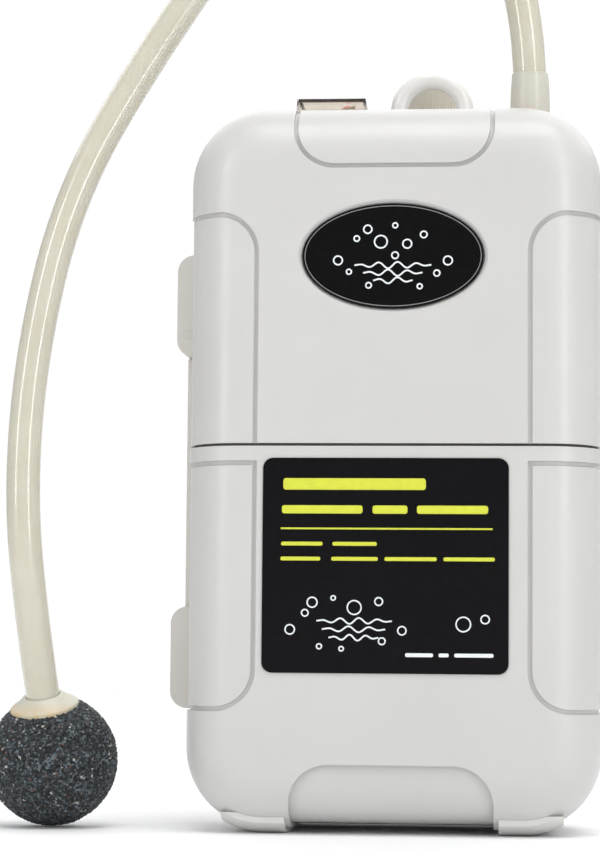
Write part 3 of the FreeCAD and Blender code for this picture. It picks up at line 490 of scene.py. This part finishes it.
HOUSING = Moulded("housing_plastic", (0.595, 0.590, 0.578), 0.34, aged=(0.552, 0.545, 0.525), painted_groove_shade=0.2,
                  edge=0.0002)
RING = Moulded("ring_plastic", (0.76, 0.75, 0.73), 0.22, aged=(0.72, 0.71, 0.68), grain=0.05, coat=0.3)
CLIP = Moulded("clip_plastic", (0.665, 0.645, 0.61), 0.42, aged=(0.60, 0.575, 0.53), painted_groove_shade=0.4)
FOOT = Moulded("foot_rubber", (0.70, 0.695, 0.67), 0.6, aged=(0.64, 0.63, 0.60), grain=0.5)
GASKET = Moulded("gasket_rubber", (0.10, 0.095, 0.07), 0.6, aged=(0.14, 0.13, 0.10))
FRAME = Moulded("frame_plastic", (0.50, 0.49, 0.45), 0.5, aged=(0.44, 0.42, 0.38))
RIBS = Moulded("rib_plastic", (0.60, 0.56, 0.46), 0.45, aged=(0.50, 0.46, 0.36), grain_scale=4200.0, edge=0.0)
SWITCH = Moulded("switch_plastic", (0.78, 0.70, 0.60), 0.38, aged=(0.72, 0.64, 0.53), grain_scale=4200.0,
                 edge=0.00012)
DOT = Moulded("switch_dot_plastic", (0.78, 0.02, 0.02), 0.2, aged=(0.62, 0.01, 0.01), grain=0.03, coat=0.6,
              edge=0.0001)
SLEEVE = Moulded("sleeve_rubber", (0.61, 0.585, 0.51), 0.34, aged=(0.55, 0.525, 0.45), grain=0.12,
                 subsurface=0.25, edge=0.00015)
WHITE_PART = Moulded("white_nylon", (0.78, 0.78, 0.75), 0.45, aged=(0.70, 0.69, 0.63), edge=0.00012)
BLACK_RUBBER = Moulded("black_rubber", (0.03, 0.03, 0.03), 0.62, aged=(0.06, 0.055, 0.05))
FELT = Moulded("filter_felt", (0.75, 0.74, 0.69), 0.95, aged=(0.60, 0.57, 0.50), grain_scale=5200.0,
               grain_depth=0.00012, grain=0.9, edge=0.0)
INNER_TUBE = Vinyl("inner_tube_vinyl", (0.70, 0.70, 0.64), 0.3)
HOSE = Vinyl("hose_vinyl", (0.655, 0.635, 0.53), 0.17, through=0.08)
HOOD = Clear("hood_vinyl", (0.93, 0.885, 0.83), 0.0)
HOOD_RIM = Clear("hood_rim_vinyl", (0.22, 0.21, 0.19), 0.1)
STONE = BondedStone("bonded_stone", (0.0095, 0.012, 0.0135), 0.62)
COLLAR = WornCollar("collar_plastic", (0.58, 0.56, 0.475), 0.4)
BADGE_FACE = Film("badge_face", (0.003, 0.003, 0.0035), 0.14, specular=0.2)
LABEL_FILM = Film("label_film", (0.004, 0.0035, 0.0045), 0.3, specular=0.12)
INK_WHITE = Film("white_ink", (0.78, 0.82, 0.84), 0.4)
# painted highlight along the badge plate's bevelled edge
INK_PAINTED_HIGHLIGHT = Film("painted_highlight_ink", (0.22, 0.22, 0.22), 0.3)
INK_YELLOW = Film("yellow_ink", (0.62, 0.66, 0.05), 0.4)
CELL_JACKET = Film("cell_jacket", (0.05, 0.05, 0.055), 0.25)
WIRE_RED = Film("red_wire", (0.50, 0.02, 0.02), 0.35, coat=0.2)
WIRE_BLACK = Film("black_wire", (0.02, 0.02, 0.02), 0.35, coat=0.2)
STEEL = Metal("ground_steel", (0.58, 0.58, 0.59), 0.28)
ZINC = Metal("zinc_plate", (0.62, 0.63, 0.64), 0.33, tarnish=(0.34, 0.33, 0.30))
NICKEL = Metal("nickel_strip", (0.68, 0.64, 0.55), 0.3, tarnish=(0.38, 0.32, 0.22))
WINDINGS = Metal("copper_windings", (0.62, 0.30, 0.16), 0.42, scratches=0.8)

CAD_FINISHES: dict[str, tuple[Finish, ...]] = {
    "battery_cup": (HOUSING,), "upper_front_shell": (HOUSING,), "upper_rear_shell": (HOUSING,),
    "foot_left": (FOOT,), "foot_right": (FOOT,), "seam_gasket": (GASKET,), "housing_screws": (ZINC,),
    "cup_label": (LABEL_FILM,), "badge_plate": (BADGE_FACE,), "hang_ring": (RING,),
    "switch_frame": (SWITCH,), "switch_rocker": (SWITCH,), "switch_dot": (DOT,),
    "switch_terminals": (NICKEL,), "switch_boot": (HOOD,), "outlet_nozzle": (FRAME,),
    "outlet_sleeve": (SLEEVE,), "latch_bracket": (CLIP,), "latch_arm": (CLIP,), "latch_pin": (CLIP,),
    "belt_clip": (CLIP,), "clip_pin": (STEEL,), "clip_spring": (STEEL,), "head_base": (FRAME,),
    "motor_frame": (FRAME,), "motor_can": (ZINC,), "motor_end_cap": (WHITE_PART,),
    "motor_shaft": (STEEL,), "motor_armature": (WINDINGS,), "motor_strap": (ZINC,),
    "crank": (WHITE_PART,), "conrod": (WHITE_PART,), "pump_chamber": (FRAME,), "valve_plate": (FRAME,),
    "valve_flaps": (BLACK_RUBBER,), "diaphragm": (BLACK_RUBBER,), "diaphragm_clamp": (WHITE_PART,),
    "clamp_screws": (ZINC,), "air_line": (INNER_TUBE,), "intake_filter": (FELT,),
    "contact_positive": (NICKEL,), "contact_negative": (NICKEL,), "contact_spring": (STEEL,),
    "wire_positive": (WIRE_RED,), "wire_negative": (WIRE_BLACK,), "wire_motor": (WIRE_RED,),
    "cell_cradle": (FRAME,), "link_plate": (NICKEL,), "link_spring": (STEEL,), "cell_left": (CELL_JACKET,),
    "cell_right": (CELL_JACKET,), "hose": (HOSE,), "stone_nipple": (COLLAR,), "air_stone": (STONE,),
}


def dress_frame() -> None:
    """Give every node of the frame its finish."""
    for name, finishes in CAD_FINISHES.items():
        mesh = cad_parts[name].data
        mesh.materials.clear()
        for finish in finishes:
            mesh.materials.append(finish.material())


# --- shaping -------------------------------------------------------------------------------
@dataclass
class Shaper:
    """A mesh under construction, in millimetres about the housing's middle."""

    name: str
    mesh: bmesh.types.BMesh = field(default_factory=bmesh.new)

    def turn(self, profile: list[tuple[float, float]], spot: tuple[float, float, float],
             along: Along = Along.Z, steps: int = 64, ease: float = 0.0) -> None:
        """Turn a profile about an axis.

        Args:
            profile: (radius, height) corners, closed on the axis or as a ring.
            spot: where the axis starts.
            along: the axis.
            steps: how many facets go round.
            ease: radius of the rounding on sharp rims.
        """
        part = bmesh.new()
        corners = [part.verts.new((radius, 0.0, height)) for radius, height in profile]
        for first, second in zip(corners, corners[1:] + corners[:1]):
            if first.co.x > 0.0 or second.co.x > 0.0:
                part.edges.new((first, second))
        bmesh.ops.spin(part, geom=part.verts[:] + part.edges[:], cent=(0, 0, 0), axis=(0, 0, 1),
                       angle=math.tau, steps=steps, use_merge=True)
        bmesh.ops.remove_doubles(part, verts=part.verts, dist=1e-5)
        bmesh.ops.recalc_face_normals(part, faces=part.faces)
        self.round_rims(part, ease)
        self.add(part, Matrix.Translation(spot) @ along.value.to_matrix().to_4x4())

    def box(self, x: tuple[float, float], y: tuple[float, float], z: tuple[float, float],
            ease: float = 0.0, segments: int = 3) -> None:
        """Add a box.

        Args:
            x, y, z: where it starts and ends along each axis.
            ease: radius of its rounded edges.
            segments: how many facets a rounding has.
        """
        part = bmesh.new()
        middle = Vector([(low + high) / 2 for low, high in (x, y, z)])
        size = Vector([high - low for low, high in (x, y, z)])
        bmesh.ops.create_cube(part, size=1.0,
                              matrix=Matrix.Translation(middle) @ Matrix.Diagonal((*size, 1.0)))
        self.round_rims(part, ease, segments)
        self.add(part)

    def round_rims(self, part: bmesh.types.BMesh, ease: float, segments: int = 3) -> None:
        """Round every sharp edge of a part.

        Args:
            part: the part.
            ease: the rounding's radius; nothing is rounded at 0.
            segments: how many facets the rounding has.
        """
        if ease <= 0.0:
            return
        sharp = [edge for edge in part.edges
                 if len(edge.link_faces) == 2 and edge.calc_face_angle(0.0) > RIM_ANGLE]
        bmesh.ops.bevel(part, geom=sharp, offset=ease, segments=segments, profile=0.5,
                        affect="EDGES", material=-1, clamp_overlap=True)

    def add(self, part: bmesh.types.BMesh, move: Matrix | None = None) -> None:
        """Take in a finished part.

        Args:
            part: the part, which is used up.
            move: the matrix that brings it to its place.
        """
        if move is not None:
            bmesh.ops.transform(part, matrix=move, verts=part.verts)
        spare = bpy.data.meshes.new("spare")
        part.to_mesh(spare)
        part.free()
        self.mesh.from_mesh(spare)
        bpy.data.meshes.remove(spare)

    def place(self, finish: Finish, body: Body, slot: str,
              replaces: tuple[str, ...] = ()) -> bpy.types.Object:
        """Make the object, dress it and let it ride.

        Args:
            finish: its finish.
            body: the body that it moves with.
            slot: the record's material slot; not used.
            replaces: the frame's nodes that it stands for.

        Returns:
            The finished piece.
        """
        bmesh.ops.transform(self.mesh, matrix=Matrix.Translation(MIDDLE) @ Matrix.Scale(MM, 4),
                            verts=self.mesh.verts)
        mesh = bpy.data.meshes.new(self.name)
        self.mesh.to_mesh(mesh)
        self.mesh.free()
        mesh.materials.append(finish.material())
        return ride(self.name, mesh, body, replaces)


def ride(name: str, data: bpy.types.ID, body: Body,
         replaces: tuple[str, ...] = ()) -> bpy.types.Object:
    """Link a mesh or curve as a piece that rides on a body.

    Args:
        name: the piece's name.
        data: its mesh or curve.
        body: the body that it moves with.
        replaces: the frame's nodes that it stands for.

    Returns:
        The piece.
    """
    if isinstance(data, bpy.types.Mesh):
        data.shade_smooth()
        data.set_sharp_from_angle(angle=SMOOTH_ANGLE)
    piece = bpy.data.objects.new(name, data)
    bpy.context.scene.collection.objects.link(piece)
    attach(piece, body.value)
    if replaces:
        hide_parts(*replaces)
    return piece


# --- studio --------------------------------------------------------------------------------
@dataclass
class Studio:
    """Camera, soft lights and a pale sweep."""

    eye: tuple[float, float, float] = (23.83, -489.85, 32.14)
    yaw: float = math.radians(-4.938)
    pitch: float = math.radians(5.034)
    roll: float = math.radians(0.491)
    lens: float = 109.94
    sensor: float = 36.0
    near: float = 0.01
    surround_tones: tuple[tuple[float, float], ...] = (
        (0.0, 0.26), (0.2, 0.33), (0.5, 0.36), (0.92, 0.42), (0.965, 1.0),
    )
    surround_strength: float = 1.02
    floor_half: float = 1.9
    floor_tones: tuple[Colour, Colour] = ((0.925, 0.93, 0.94), (0.935, 0.94, 0.95))

    def camera(self) -> None:
        """Stand the camera at eye, level but for a slight roll."""
        forward = Vector((math.sin(self.yaw) * math.cos(self.pitch),
                          math.cos(self.yaw) * math.cos(self.pitch), math.sin(self.pitch)))
        right = Vector((math.cos(self.yaw), -math.sin(self.yaw), 0.0))
        up = right.cross(forward)
        tilted_right = right * math.cos(self.roll) + up * math.sin(self.roll)
        tilted_up = up * math.cos(self.roll) - right * math.sin(self.roll)
        data = bpy.data.cameras.new("camera")
        data.sensor_fit = "AUTO"
        data.sensor_width = self.sensor
        data.lens = self.lens
        data.clip_start = self.near
        camera = bpy.data.objects.new("camera", data)
        turn = Matrix((tilted_right, tilted_up, -forward)).transposed().to_4x4()
        camera.matrix_world = Matrix.Translation(at(*self.eye)) @ turn
        bpy.context.scene.collection.objects.link(camera)
        bpy.context.scene.camera = camera

    def softbox(self, name: str, spot: tuple[float, float, float], size: tuple[float, float],
                power: float, target: tuple[float, float, float] = (0.0, 0.0, 0.075)) -> None:
        """Add an area light.

        Args:
            name: the light's name.
            spot: where it stands, in metres.
            size: its width and height in metres.
            power: its power in watts.
            target: what it faces, in metres; the pump's middle if nothing is given.
        """
        data = bpy.data.lights.new(name, "AREA")
        data.shape = "RECTANGLE"
        data.size, data.size_y = size
        data.energy = power
        lamp = bpy.data.objects.new(name, data)
        lamp.location = spot
        lamp.rotation_euler = (Vector(target) - Vector(spot)).to_track_quat("-Z", "Y").to_euler()
        bpy.context.scene.collection.objects.link(lamp)

    def floor(self) -> None:
        """Wide pale floor."""
        part = bmesh.new()
        bmesh.ops.create_grid(part, x_segments=1, y_segments=1, size=self.floor_half)
        mesh = bpy.data.meshes.new("floor")
        part.to_mesh(mesh)
        part.free()
        graph = Graph("floor_paper")
        tone = graph.span(graph.noise(3.0), 0.3, 0.7, 0.0, 1.0)
        graph.join(graph.blend(tone, *self.floor_tones), graph.shader.inputs["Base Color"])
        graph.shader.inputs["Roughness"].default_value = 0.75
        mesh.materials.append(graph.material)
        floor = bpy.data.objects.new("floor", mesh)
        bpy.context.scene.collection.objects.link(floor)

    def surround(self) -> None:
        """Even surround with a white card behind the pump."""
        world = bpy.data.worlds.new("surround")
        world.use_nodes = True
        tree = world.node_tree
        way = tree.nodes.new("ShaderNodeTexCoord")
        split = tree.nodes.new("ShaderNodeSeparateXYZ")
        tone = tree.nodes.new("ShaderNodeValToRGB")
        share = tree.nodes.new("ShaderNodeMapRange")
        share.inputs["From Min"].default_value = -1.0
        tree.links.new(way.outputs["Generated"], split.inputs[0])
        tree.links.new(split.outputs["Y"], share.inputs["Value"])
        tree.links.new(share.outputs["Result"], tone.inputs["Fac"])
        ramp = tone.color_ramp
        ramp.elements.remove(ramp.elements[1])
        for number, (place, grey) in enumerate(self.surround_tones):
            stop = ramp.elements[0] if number == 0 else ramp.elements.new(place)
            stop.position = place
            stop.color = (grey, grey, grey, 1.0)
        background = tree.nodes["Background"]
        background.inputs["Strength"].default_value = self.surround_strength
        tree.links.new(tone.outputs["Color"], background.inputs["Color"])
        bpy.context.scene.world = world

    def build(self) -> None:
        """Camera, floor, surround and softboxes."""
        self.camera()
        self.floor()
        self.surround()
        self.softbox("top_box", (0.15, -0.30, 0.95), (0.8, 0.5), 5.6)
        self.softbox("right_box", (0.72, -0.78, 0.40), (0.14, 0.8), 3.3)
        self.softbox("left_box", (-0.72, -0.76, 0.38), (0.12, 0.7), 2.6)
        self.softbox("floor_box", (0.0, 1.7, 1.6), (4.4, 2.6), 44.0, (0.0, 1.7, 0.0))
        bpy.context.scene.view_settings.view_transform = "Standard"


# --- hose line -----------------------------------------------------------------------------
@dataclass
class HoseLine:
    """The airline hose with its collar and stone."""

    diameter: float = 6.3
    length: float = 248.6
    stone_radius: float = 12.35
    collar_radius: float = 6.4
    stone_to_end: float = 12.0
    grain_pitch: float = 1.9
    grain_pits: float = 0.42
    grain_level: float = 0.25
    lump_pitch: float = 0.35
    lump: float = 0.10
    fine_pitch: float = 3.1
    fine: float = 0.10
    sunk: float = 0.12
    collar_sunk: float = 10.0
    collar_ease: float = 0.12
    route: tuple[tuple[float, float, float], ...] = (
        (24.9, 1.5, 137.1), (24.9, 1.5, 160.6), (12.3, 1.2, 177.6), (-8.0, 0.0, 184.0),
        (-27.6, -1.5, 176.6), (-48.9, -4.0, 144.2), (-62.2, -7.5, 118.2), (-67.9, -12.0, 88.6),
        (-69.1, -14.5, 61.2), (-66.9, -11.8, 37.3), (-65.4, -7.6, 23.8),
    )

    def axis(self) -> tuple[Vector, Vector]:
        """Find how the stone lies.

        Returns:
            The stone's middle in millimetres, and the direction from it to the hose.
        """
        end, before = Vector(self.route[-1]), Vector(self.route[-2])
        way = (before - end).normalized()
        return end - way * self.stone_to_end, way

    def hose(self) -> bpy.types.Object:
        """Draw one smooth tube along the route.

        Returns:
            The hose.
        """
        curve = bpy.data.curves.new("hose_line", "CURVE")
        curve.dimensions = "3D"
        line = curve.splines.new("NURBS")
        line.points.add(len(self.route) - 1)
        for point, spot in zip(line.points, self.route):
            point.co = (*at(*spot), 1.0)
        line.order_u = 3
        line.use_endpoint_u = True
        line.resolution_u = 24
        curve.bevel_depth = self.diameter / 2 * MM
        curve.bevel_resolution = 10
        curve.use_fill_caps = True
        curve.materials.append(HOSE.material())
        return ride("airline_hose", curve, Body.HEAD, ("hose",))

    def stone(self) -> bpy.types.Object:
        """Shape a porous ball: grains stand out of it and pores go in.

        Returns:
            The stone.
        """
        middle, _ = self.axis()
        shape = Shaper("porous_stone")
        bmesh.ops.create_icosphere(shape.mesh, subdivisions=7, radius=self.stone_radius)
        for vert in shape.mesh.verts:
            out = vert.co.normalized()
            grain = noise.voronoi(vert.co * self.grain_pitch)[0]
            lump = noise.noise(vert.co * self.lump_pitch) * self.lump
            pits = self.grain_pits * (grain[0] - self.grain_level)
            vert.co -= out * (self.sunk + pits + self.fine * noise.noise(vert.co * self.fine_pitch) - lump)
            vert.co += middle
        return shape.place(STONE, Body.HEAD, "stone", ("air_stone",))

    def collar(self) -> bpy.types.Object:
        """Turn the collar of the stone's nipple, sunk in the stone, with a socket for the hose.

        Returns:
            The collar.
        """
        middle, way = self.axis()
        shape = Shaper("stone_collar")
        rim = self.collar_radius
        shape.turn([(0.0, -8.0), (1.7, -8.0), (1.7, 0.0), (rim, 0.0), (rim, 0.8), (rim - 0.6, 1.25),
                    (4.7, 1.9), (3.75, 2.75), (3.2, 2.8), (3.2, 2.0), (0.0, 2.0)],
                   (0.0, 0.0, 0.0), steps=72, ease=self.collar_ease)
        turn = Vector((0.0, 0.0, 1.0)).rotation_difference(way).to_matrix().to_4x4()
        bmesh.ops.transform(shape.mesh, matrix=Matrix.Translation(middle + way * self.collar_sunk) @ turn,
                            verts=shape.mesh.verts)
        return shape.place(COLLAR, Body.HEAD, "stone_nipple", ("stone_nipple",))

    def build(self) -> None:
        """Hose, collar and stone."""
        hose = self.hose()
        pieces = [self.collar(), self.stone()]


# --- housing details -----------------------------------------------------------------------
@dataclass
class HangRing:
    """Glossy hanging ring on the top, with its foot inside the shells."""

    spot: tuple[float, float, float] = (6.2, 3.3, 136.2)
    outer: float = 7.9
    hole: float = 4.7
    half: float = 2.3
    ease: float = 1.5
    foot_half: float = 9.5
    foot_deep: float = 2.6
    foot_ease: float = 0.3
    foot_low: float = 127.3
    foot_high: float = 131.8

    def build(self) -> None:
        """Build the ring, with wide roundings, and the foot under it."""
        shape = Shaper("hanging_ring")
        shape.turn([(self.hole, -self.half), (self.outer, -self.half), (self.outer, self.half),
                    (self.hole, self.half)], self.spot, Along.Y, steps=120, ease=self.ease)
        x, y, _ = self.spot
        shape.box((x - self.foot_half, x + self.foot_half), (y - self.foot_deep, y + self.foot_deep),
                  (self.foot_low, self.foot_high), ease=self.foot_ease)
        shape.place(RING, Body.HEAD, "ring", ("hang_ring",))


@dataclass
class OutletSleeve:
    """Soft sleeve that holds the hose on the nozzle: a slight barrel with a rolled mouth."""

    spot: tuple[float, float] = (24.9, 1.5)
    low: float = 129.2
    high: float = 143.1
    mouth: float = 3.45
    belly: float = 3.75
    bore: float = 3.2
    nozzle: float = 2.32
    seat: float = 137.1
    belly_drop: float = 1.3
    lip_high: float = 0.35
    lip_drop: float = 0.12
    lip_out: float = 0.02
    lip_in: float = 0.09
    steps: int = 14

    def build(self) -> None:
        """Barrel in a smooth curve, with a lip at its mouth."""
        shape = Shaper("outlet_barrel")
        outside = []
        for step in range(self.steps + 1):
            share = step / self.steps
            swell = math.sin(math.pi * share ** self.belly_drop)
            outside.append((self.mouth + (self.belly - self.mouth) * swell,
                            self.low + (self.high - self.lip_high - self.low) * share))
        lip = [(self.mouth + self.lip_out, self.high - self.lip_drop), (self.mouth - self.lip_in, self.high)]
        inside = [(self.bore, self.high), (self.bore, self.seat), (self.nozzle, self.seat),
                  (self.nozzle, self.low)]
        shape.turn(outside + lip + inside, (*self.spot, 0.0), steps=96)
        shape.place(SLEEVE, Body.HEAD, "sleeve", ("outlet_sleeve",))


@dataclass
class ThumbRibs:
    """Grip ribs on both faces of the belt clip's thumb pad."""

    middle: float = 5.4
    half: float = 6.1
    pitch: float = 0.56
    rib: float = 0.30
    proud: float = 0.22
    rooted: float = 0.05
    ease: float = 0.08
    faces: tuple[float, float] = (27.6, 29.8)
    low: float = 124.0
    crown: float = 141.5

    def build(self) -> None:
        """Upright ribs that end just inside the pad's round top."""
        shape = Shaper("thumb_ribs")
        count = int(self.half / self.pitch)
        for number in range(-count, count + 1):
            off = number * self.pitch
            top = self.crown + math.sqrt(max(0.0, self.half ** 2 - off ** 2))
            x = (self.middle + off - self.rib / 2, self.middle + off + self.rib / 2)
            for face, side in zip(self.faces, (-1.0, 1.0)):
                y = sorted((face + side * self.proud, face - side * self.rooted))
                shape.box(x, (y[0], y[1]), (self.low, top), ease=self.ease, segments=2)
        shape.place(RIBS, Body.CLIP, "clip_plastic")


@dataclass
class HoodRim:
    """Thick smoky rim along the hood's top edges."""

    middle: tuple[float, float] = (-12.3, -2.0)
    half: float = 6.32
    deep: float = 5.42
    high: float = 136.78
    thick: float = 0.6
    ease: float = 0.12

    def build(self) -> None:
        """Frame of four rounded bars just inside the hood's top."""
        shape = Shaper("hood_rim")
        x, y = self.middle
        left, right = x - self.half, x + self.half
        front, rear = y - self.deep, y + self.deep
        z = (self.high - self.thick, self.high)
        for low_y in (front, rear - self.thick):
            shape.box((left, right), (low_y, low_y + self.thick), z, ease=self.ease)
        for low_x in (left, right - self.thick):
            shape.box((low_x, low_x + self.thick), (front + self.thick, rear - self.thick), z,
                      ease=self.ease)
        shape.place(HOOD_RIM, Body.HEAD, "clear_hood")


# --- print ---------------------------------------------------------------------------------
@dataclass
class Ink:
    """Raised print on a face that looks towards -Y."""

    name: str
    face: float
    thick: float = 0.03
    sunk: float = 0.01
    wave_width: float = 0.3
    corner: float = 0.35
    shape: Shaper = field(init=False)

    def __post_init__(self) -> None:
        """Start the print's mesh."""
        self.shape = Shaper(self.name)

    def line(self, spots: list[tuple[float, float]], width: float, closed: bool = False) -> None:
        """Ribbon of a width through (x, z) places.

        Args:
            spots: the ribbon's middle line.
            width: its width.
            closed: whether its end meets its start.
        """
        part = bmesh.new()
        count = len(spots)
        rings = []
        for number, (x, z) in enumerate(spots):
            before = spots[number - 1] if number or closed else spots[0]
            after = spots[(number + 1) % count] if number < count - 1 or closed else spots[-1]
            way = Vector((after[0] - before[0], after[1] - before[1])).normalized()
            aside = Vector((-way.y, way.x)) * (width / 2)
            rings.append([part.verts.new((x + sign * aside.x, y, z + sign * aside.y))
                          for sign, y in self.corners()])
        self.skin(part, rings, closed)

    def corners(self) -> list[tuple[int, float]]:
        """Side and depth of a ribbon's four corners, in order round it."""
        outer, inner = self.face - self.thick, self.face + self.sunk
        return [(1, outer), (-1, outer), (-1, inner), (1, inner)]

    def skin(self, part: bmesh.types.BMesh, rings: list[list[bmesh.types.BMVert]], closed: bool) -> None:
        """Join rings of four corners into one closed skin and take it in.

        Args:
            part: the mesh that holds the rings.
            rings: the corners, ring after ring.
            closed: whether the last ring meets the first; the ends are capped if not.
        """
        pairs = list(zip(rings, rings[1:])) + ([(rings[-1], rings[0])] if closed else [])
        for first, second in pairs:
            for corner in range(4):
                after = (corner + 1) % 4
                part.faces.new((first[corner], first[after], second[after], second[corner]))
        if not closed:
            part.faces.new(rings[0])
            part.faces.new(rings[-1])
        bmesh.ops.recalc_face_normals(part, faces=part.faces)
        self.shape.add(part)

    def bubble(self, x: float, z: float, radius: float, width: float = 0.28) -> None:
        """Draw a ring.

        Args:
            x, z: its middle.
            radius: its radius, to the middle of the line.
            width: the line's width.
        """
        steps = 28
        turns = [math.tau * step / steps for step in range(steps)]
        self.line([(x + radius * math.cos(turn), z + radius * math.sin(turn)) for turn in turns], width,
                  closed=True)

    def wave(self, x: float, z: float, length: float, height: float, crests: int) -> None:
        """Draw a level wavy line that calms down at both ends.

        Args:
            x, z: where it starts.
            length: how long it is.
            height: how high its middle waves are.
            crests: how many waves it has.
        """
        steps = crests * 16
        shares = [step / steps for step in range(steps + 1)]
        self.line([(x + length * share,
                    z + height * math.sin(math.tau * crests * share) * math.sin(math.pi * share))
                   for share in shares], self.wave_width)

    def bar(self, x: tuple[float, float], z: tuple[float, float]) -> None:
        """Draw a plain bar with rounded corners.

        Args:
            x, z: where it starts and ends along each axis.
        """
        middle, tall = (z[0] + z[1]) / 2, z[1] - z[0]
        ease = min(self.corner, tall / 2.5)
        ends = [(x[0], 0.5), (x[0] + ease * 0.3, 0.82), (x[0] + ease, 1.0), (x[1] - ease, 1.0),
                (x[1] - ease * 0.3, 0.82), (x[1], 0.5)]
        part = bmesh.new()
        rings = [[part.verts.new((place, y, middle + sign * tall / 2 * share))
                  for sign, y in self.corners()] for place, share in ends]
        self.skin(part, rings, closed=False)


@dataclass
class BadgePrint:
    """Bubbles over waves on the oval badge, with a fine grey line round them that is a painted highlight on
    the plate's bevelled edge.
    """

    face: float = -20.82
    middle: float = 104.8
    half: float = 16.05
    half_height: float = 9.2
    bubbles: tuple[tuple[float, float, float], ...] = (
        (-4.6, 4.9, 0.75), (-6.6, 3.2, 0.5), (5.6, 3.9, 0.6), (10.0, -0.9, 0.8), (-10.0, -0.8, 0.8),
        (0.4, 5.6, 0.45), (8.0, -3.2, 0.55), (-8.0, -2.9, 0.45), (-2.2, 2.6, 1.15), (2.6, 2.2, 0.8),
        (0.4, 0.1, 0.6), (4.9, -5.6, 0.45), (-4.4, -5.4, 0.5),
    )
    waves: tuple[tuple[float, float, float, int], ...] = (
        (-7.0, -1.7, 14.0, 4), (-5.4, -3.1, 10.8, 3), (-3.6, -4.5, 7.2, 2),
    )
    wave_height: float = 0.6
    highlight_width: float = 0.16
    highlight_thick: float = 0.05

    def build(self) -> None:
        """Print in white ink, and the painted highlight line in grey."""
        ink = Ink("badge_print", self.face)
        for x, z, radius in self.bubbles:
            ink.bubble(x, self.middle + z, radius)
        for x, z, length, crests in self.waves:
            ink.wave(x, self.middle + z, length, self.wave_height, crests)
        ink.shape.place(INK_WHITE, Body.HEAD, "badge")
        # painted highlight: a grey line just inside the black plate's edge, where light catches its bevel
        rim = Ink("badge_painted_highlight", self.face, thick=self.highlight_thick)
        steps = 120
        rim.line([(self.half * math.cos(math.tau * step / steps),
                   self.middle + self.half_height * math.sin(math.tau * step / steps))
                  for step in range(steps)], self.highlight_width, closed=True)
        rim.shape.place(INK_PAINTED_HIGHLIGHT, Body.HEAD, "badge")


@dataclass
class LabelPrint:
    """Plain bars in place of the label's lines, over bubbles and waves."""

    face: float = -21.25
    rule: tuple[tuple[float, float], tuple[float, float]] = ((-20.0, 55.1), (18.2, 55.1))
    rule_width: float = 0.32
    bars: tuple[tuple[tuple[float, float], tuple[float, float]], ...] = (
        ((-19.6, 6.2), (62.1, 64.2)), ((-19.8, -5.2), (57.8, 59.3)), ((-3.4, 2.9), (57.8, 59.3)),
        ((4.6, 17.4), (57.8, 59.3)), ((-19.9, -12.4), (52.0, 52.7)), ((-10.6, -2.6), (52.0, 52.7)),
        ((-20.0, -12.8), (49.3, 50.0)), ((-10.8, -2.4), (49.3, 50.0)), ((-1.2, 8.2), (49.3, 50.0)),
        ((9.4, 18.6), (49.3, 50.0)),
    )
    white_bars: tuple[tuple[tuple[float, float], tuple[float, float]], ...] = (
        ((2.6, 7.6), (32.1, 32.8)), ((8.6, 10.4), (32.1, 32.8)), ((11.4, 18.4), (32.1, 32.8)),
    )
    bubbles: tuple[tuple[float, float, float], ...] = (
        (-18.2, 36.9, 0.85), (-14.2, 41.8, 0.9), (-15.5, 39.9, 0.6), (-10.4, 42.6, 0.4), (-6.6, 40.9, 1.25),
        (-2.2, 42.0, 0.7), (2.0, 36.8, 0.75), (-1.6, 34.9, 0.6), (-12.9, 33.9, 0.45), (-8.9, 33.5, 0.4),
        (13.0, 38.0, 1.3), (16.9, 38.9, 0.75),
    )
    bubble_width: float = 0.26
    waves: tuple[tuple[float, float, float, int], ...] = (
        (-13.4, 38.5, 13.6, 4), (-12.4, 37.0, 11.4, 3), (-11.2, 35.5, 9.0, 3),
    )
    wave_height: float = 0.55

    def build(self) -> None:
        """Print in yellow and white ink."""
        yellow = Ink("label_heading", self.face)
        for x, z in self.bars:
            yellow.bar(x, z)
        yellow.line(list(self.rule), self.rule_width)
        yellow.shape.place(INK_YELLOW, Body.CUP, "label")
        white = Ink("label_drawing", self.face)
        for x, z in self.white_bars:
            white.bar(x, z)
        for x, z, radius in self.bubbles:
            white.bubble(x, z, radius, self.bubble_width)
        for x, z, length, crests in self.waves:
            white.wave(x, z, length, self.wave_height, crests)
        white.shape.place(INK_WHITE, Body.CUP, "label")


def main() -> None:
    """Build every piece."""
    logging.basicConfig(level=logging.INFO, format="%(message)s")
    dress_frame()
    for part in (Studio(), HoseLine(), HangRing(), OutletSleeve(), ThumbRibs(), HoodRim(), BadgePrint(),
                 LabelPrint()):
        part.build()
        log.info("built %s", type(part).__name__)


if __name__ == "__main__":
    main()
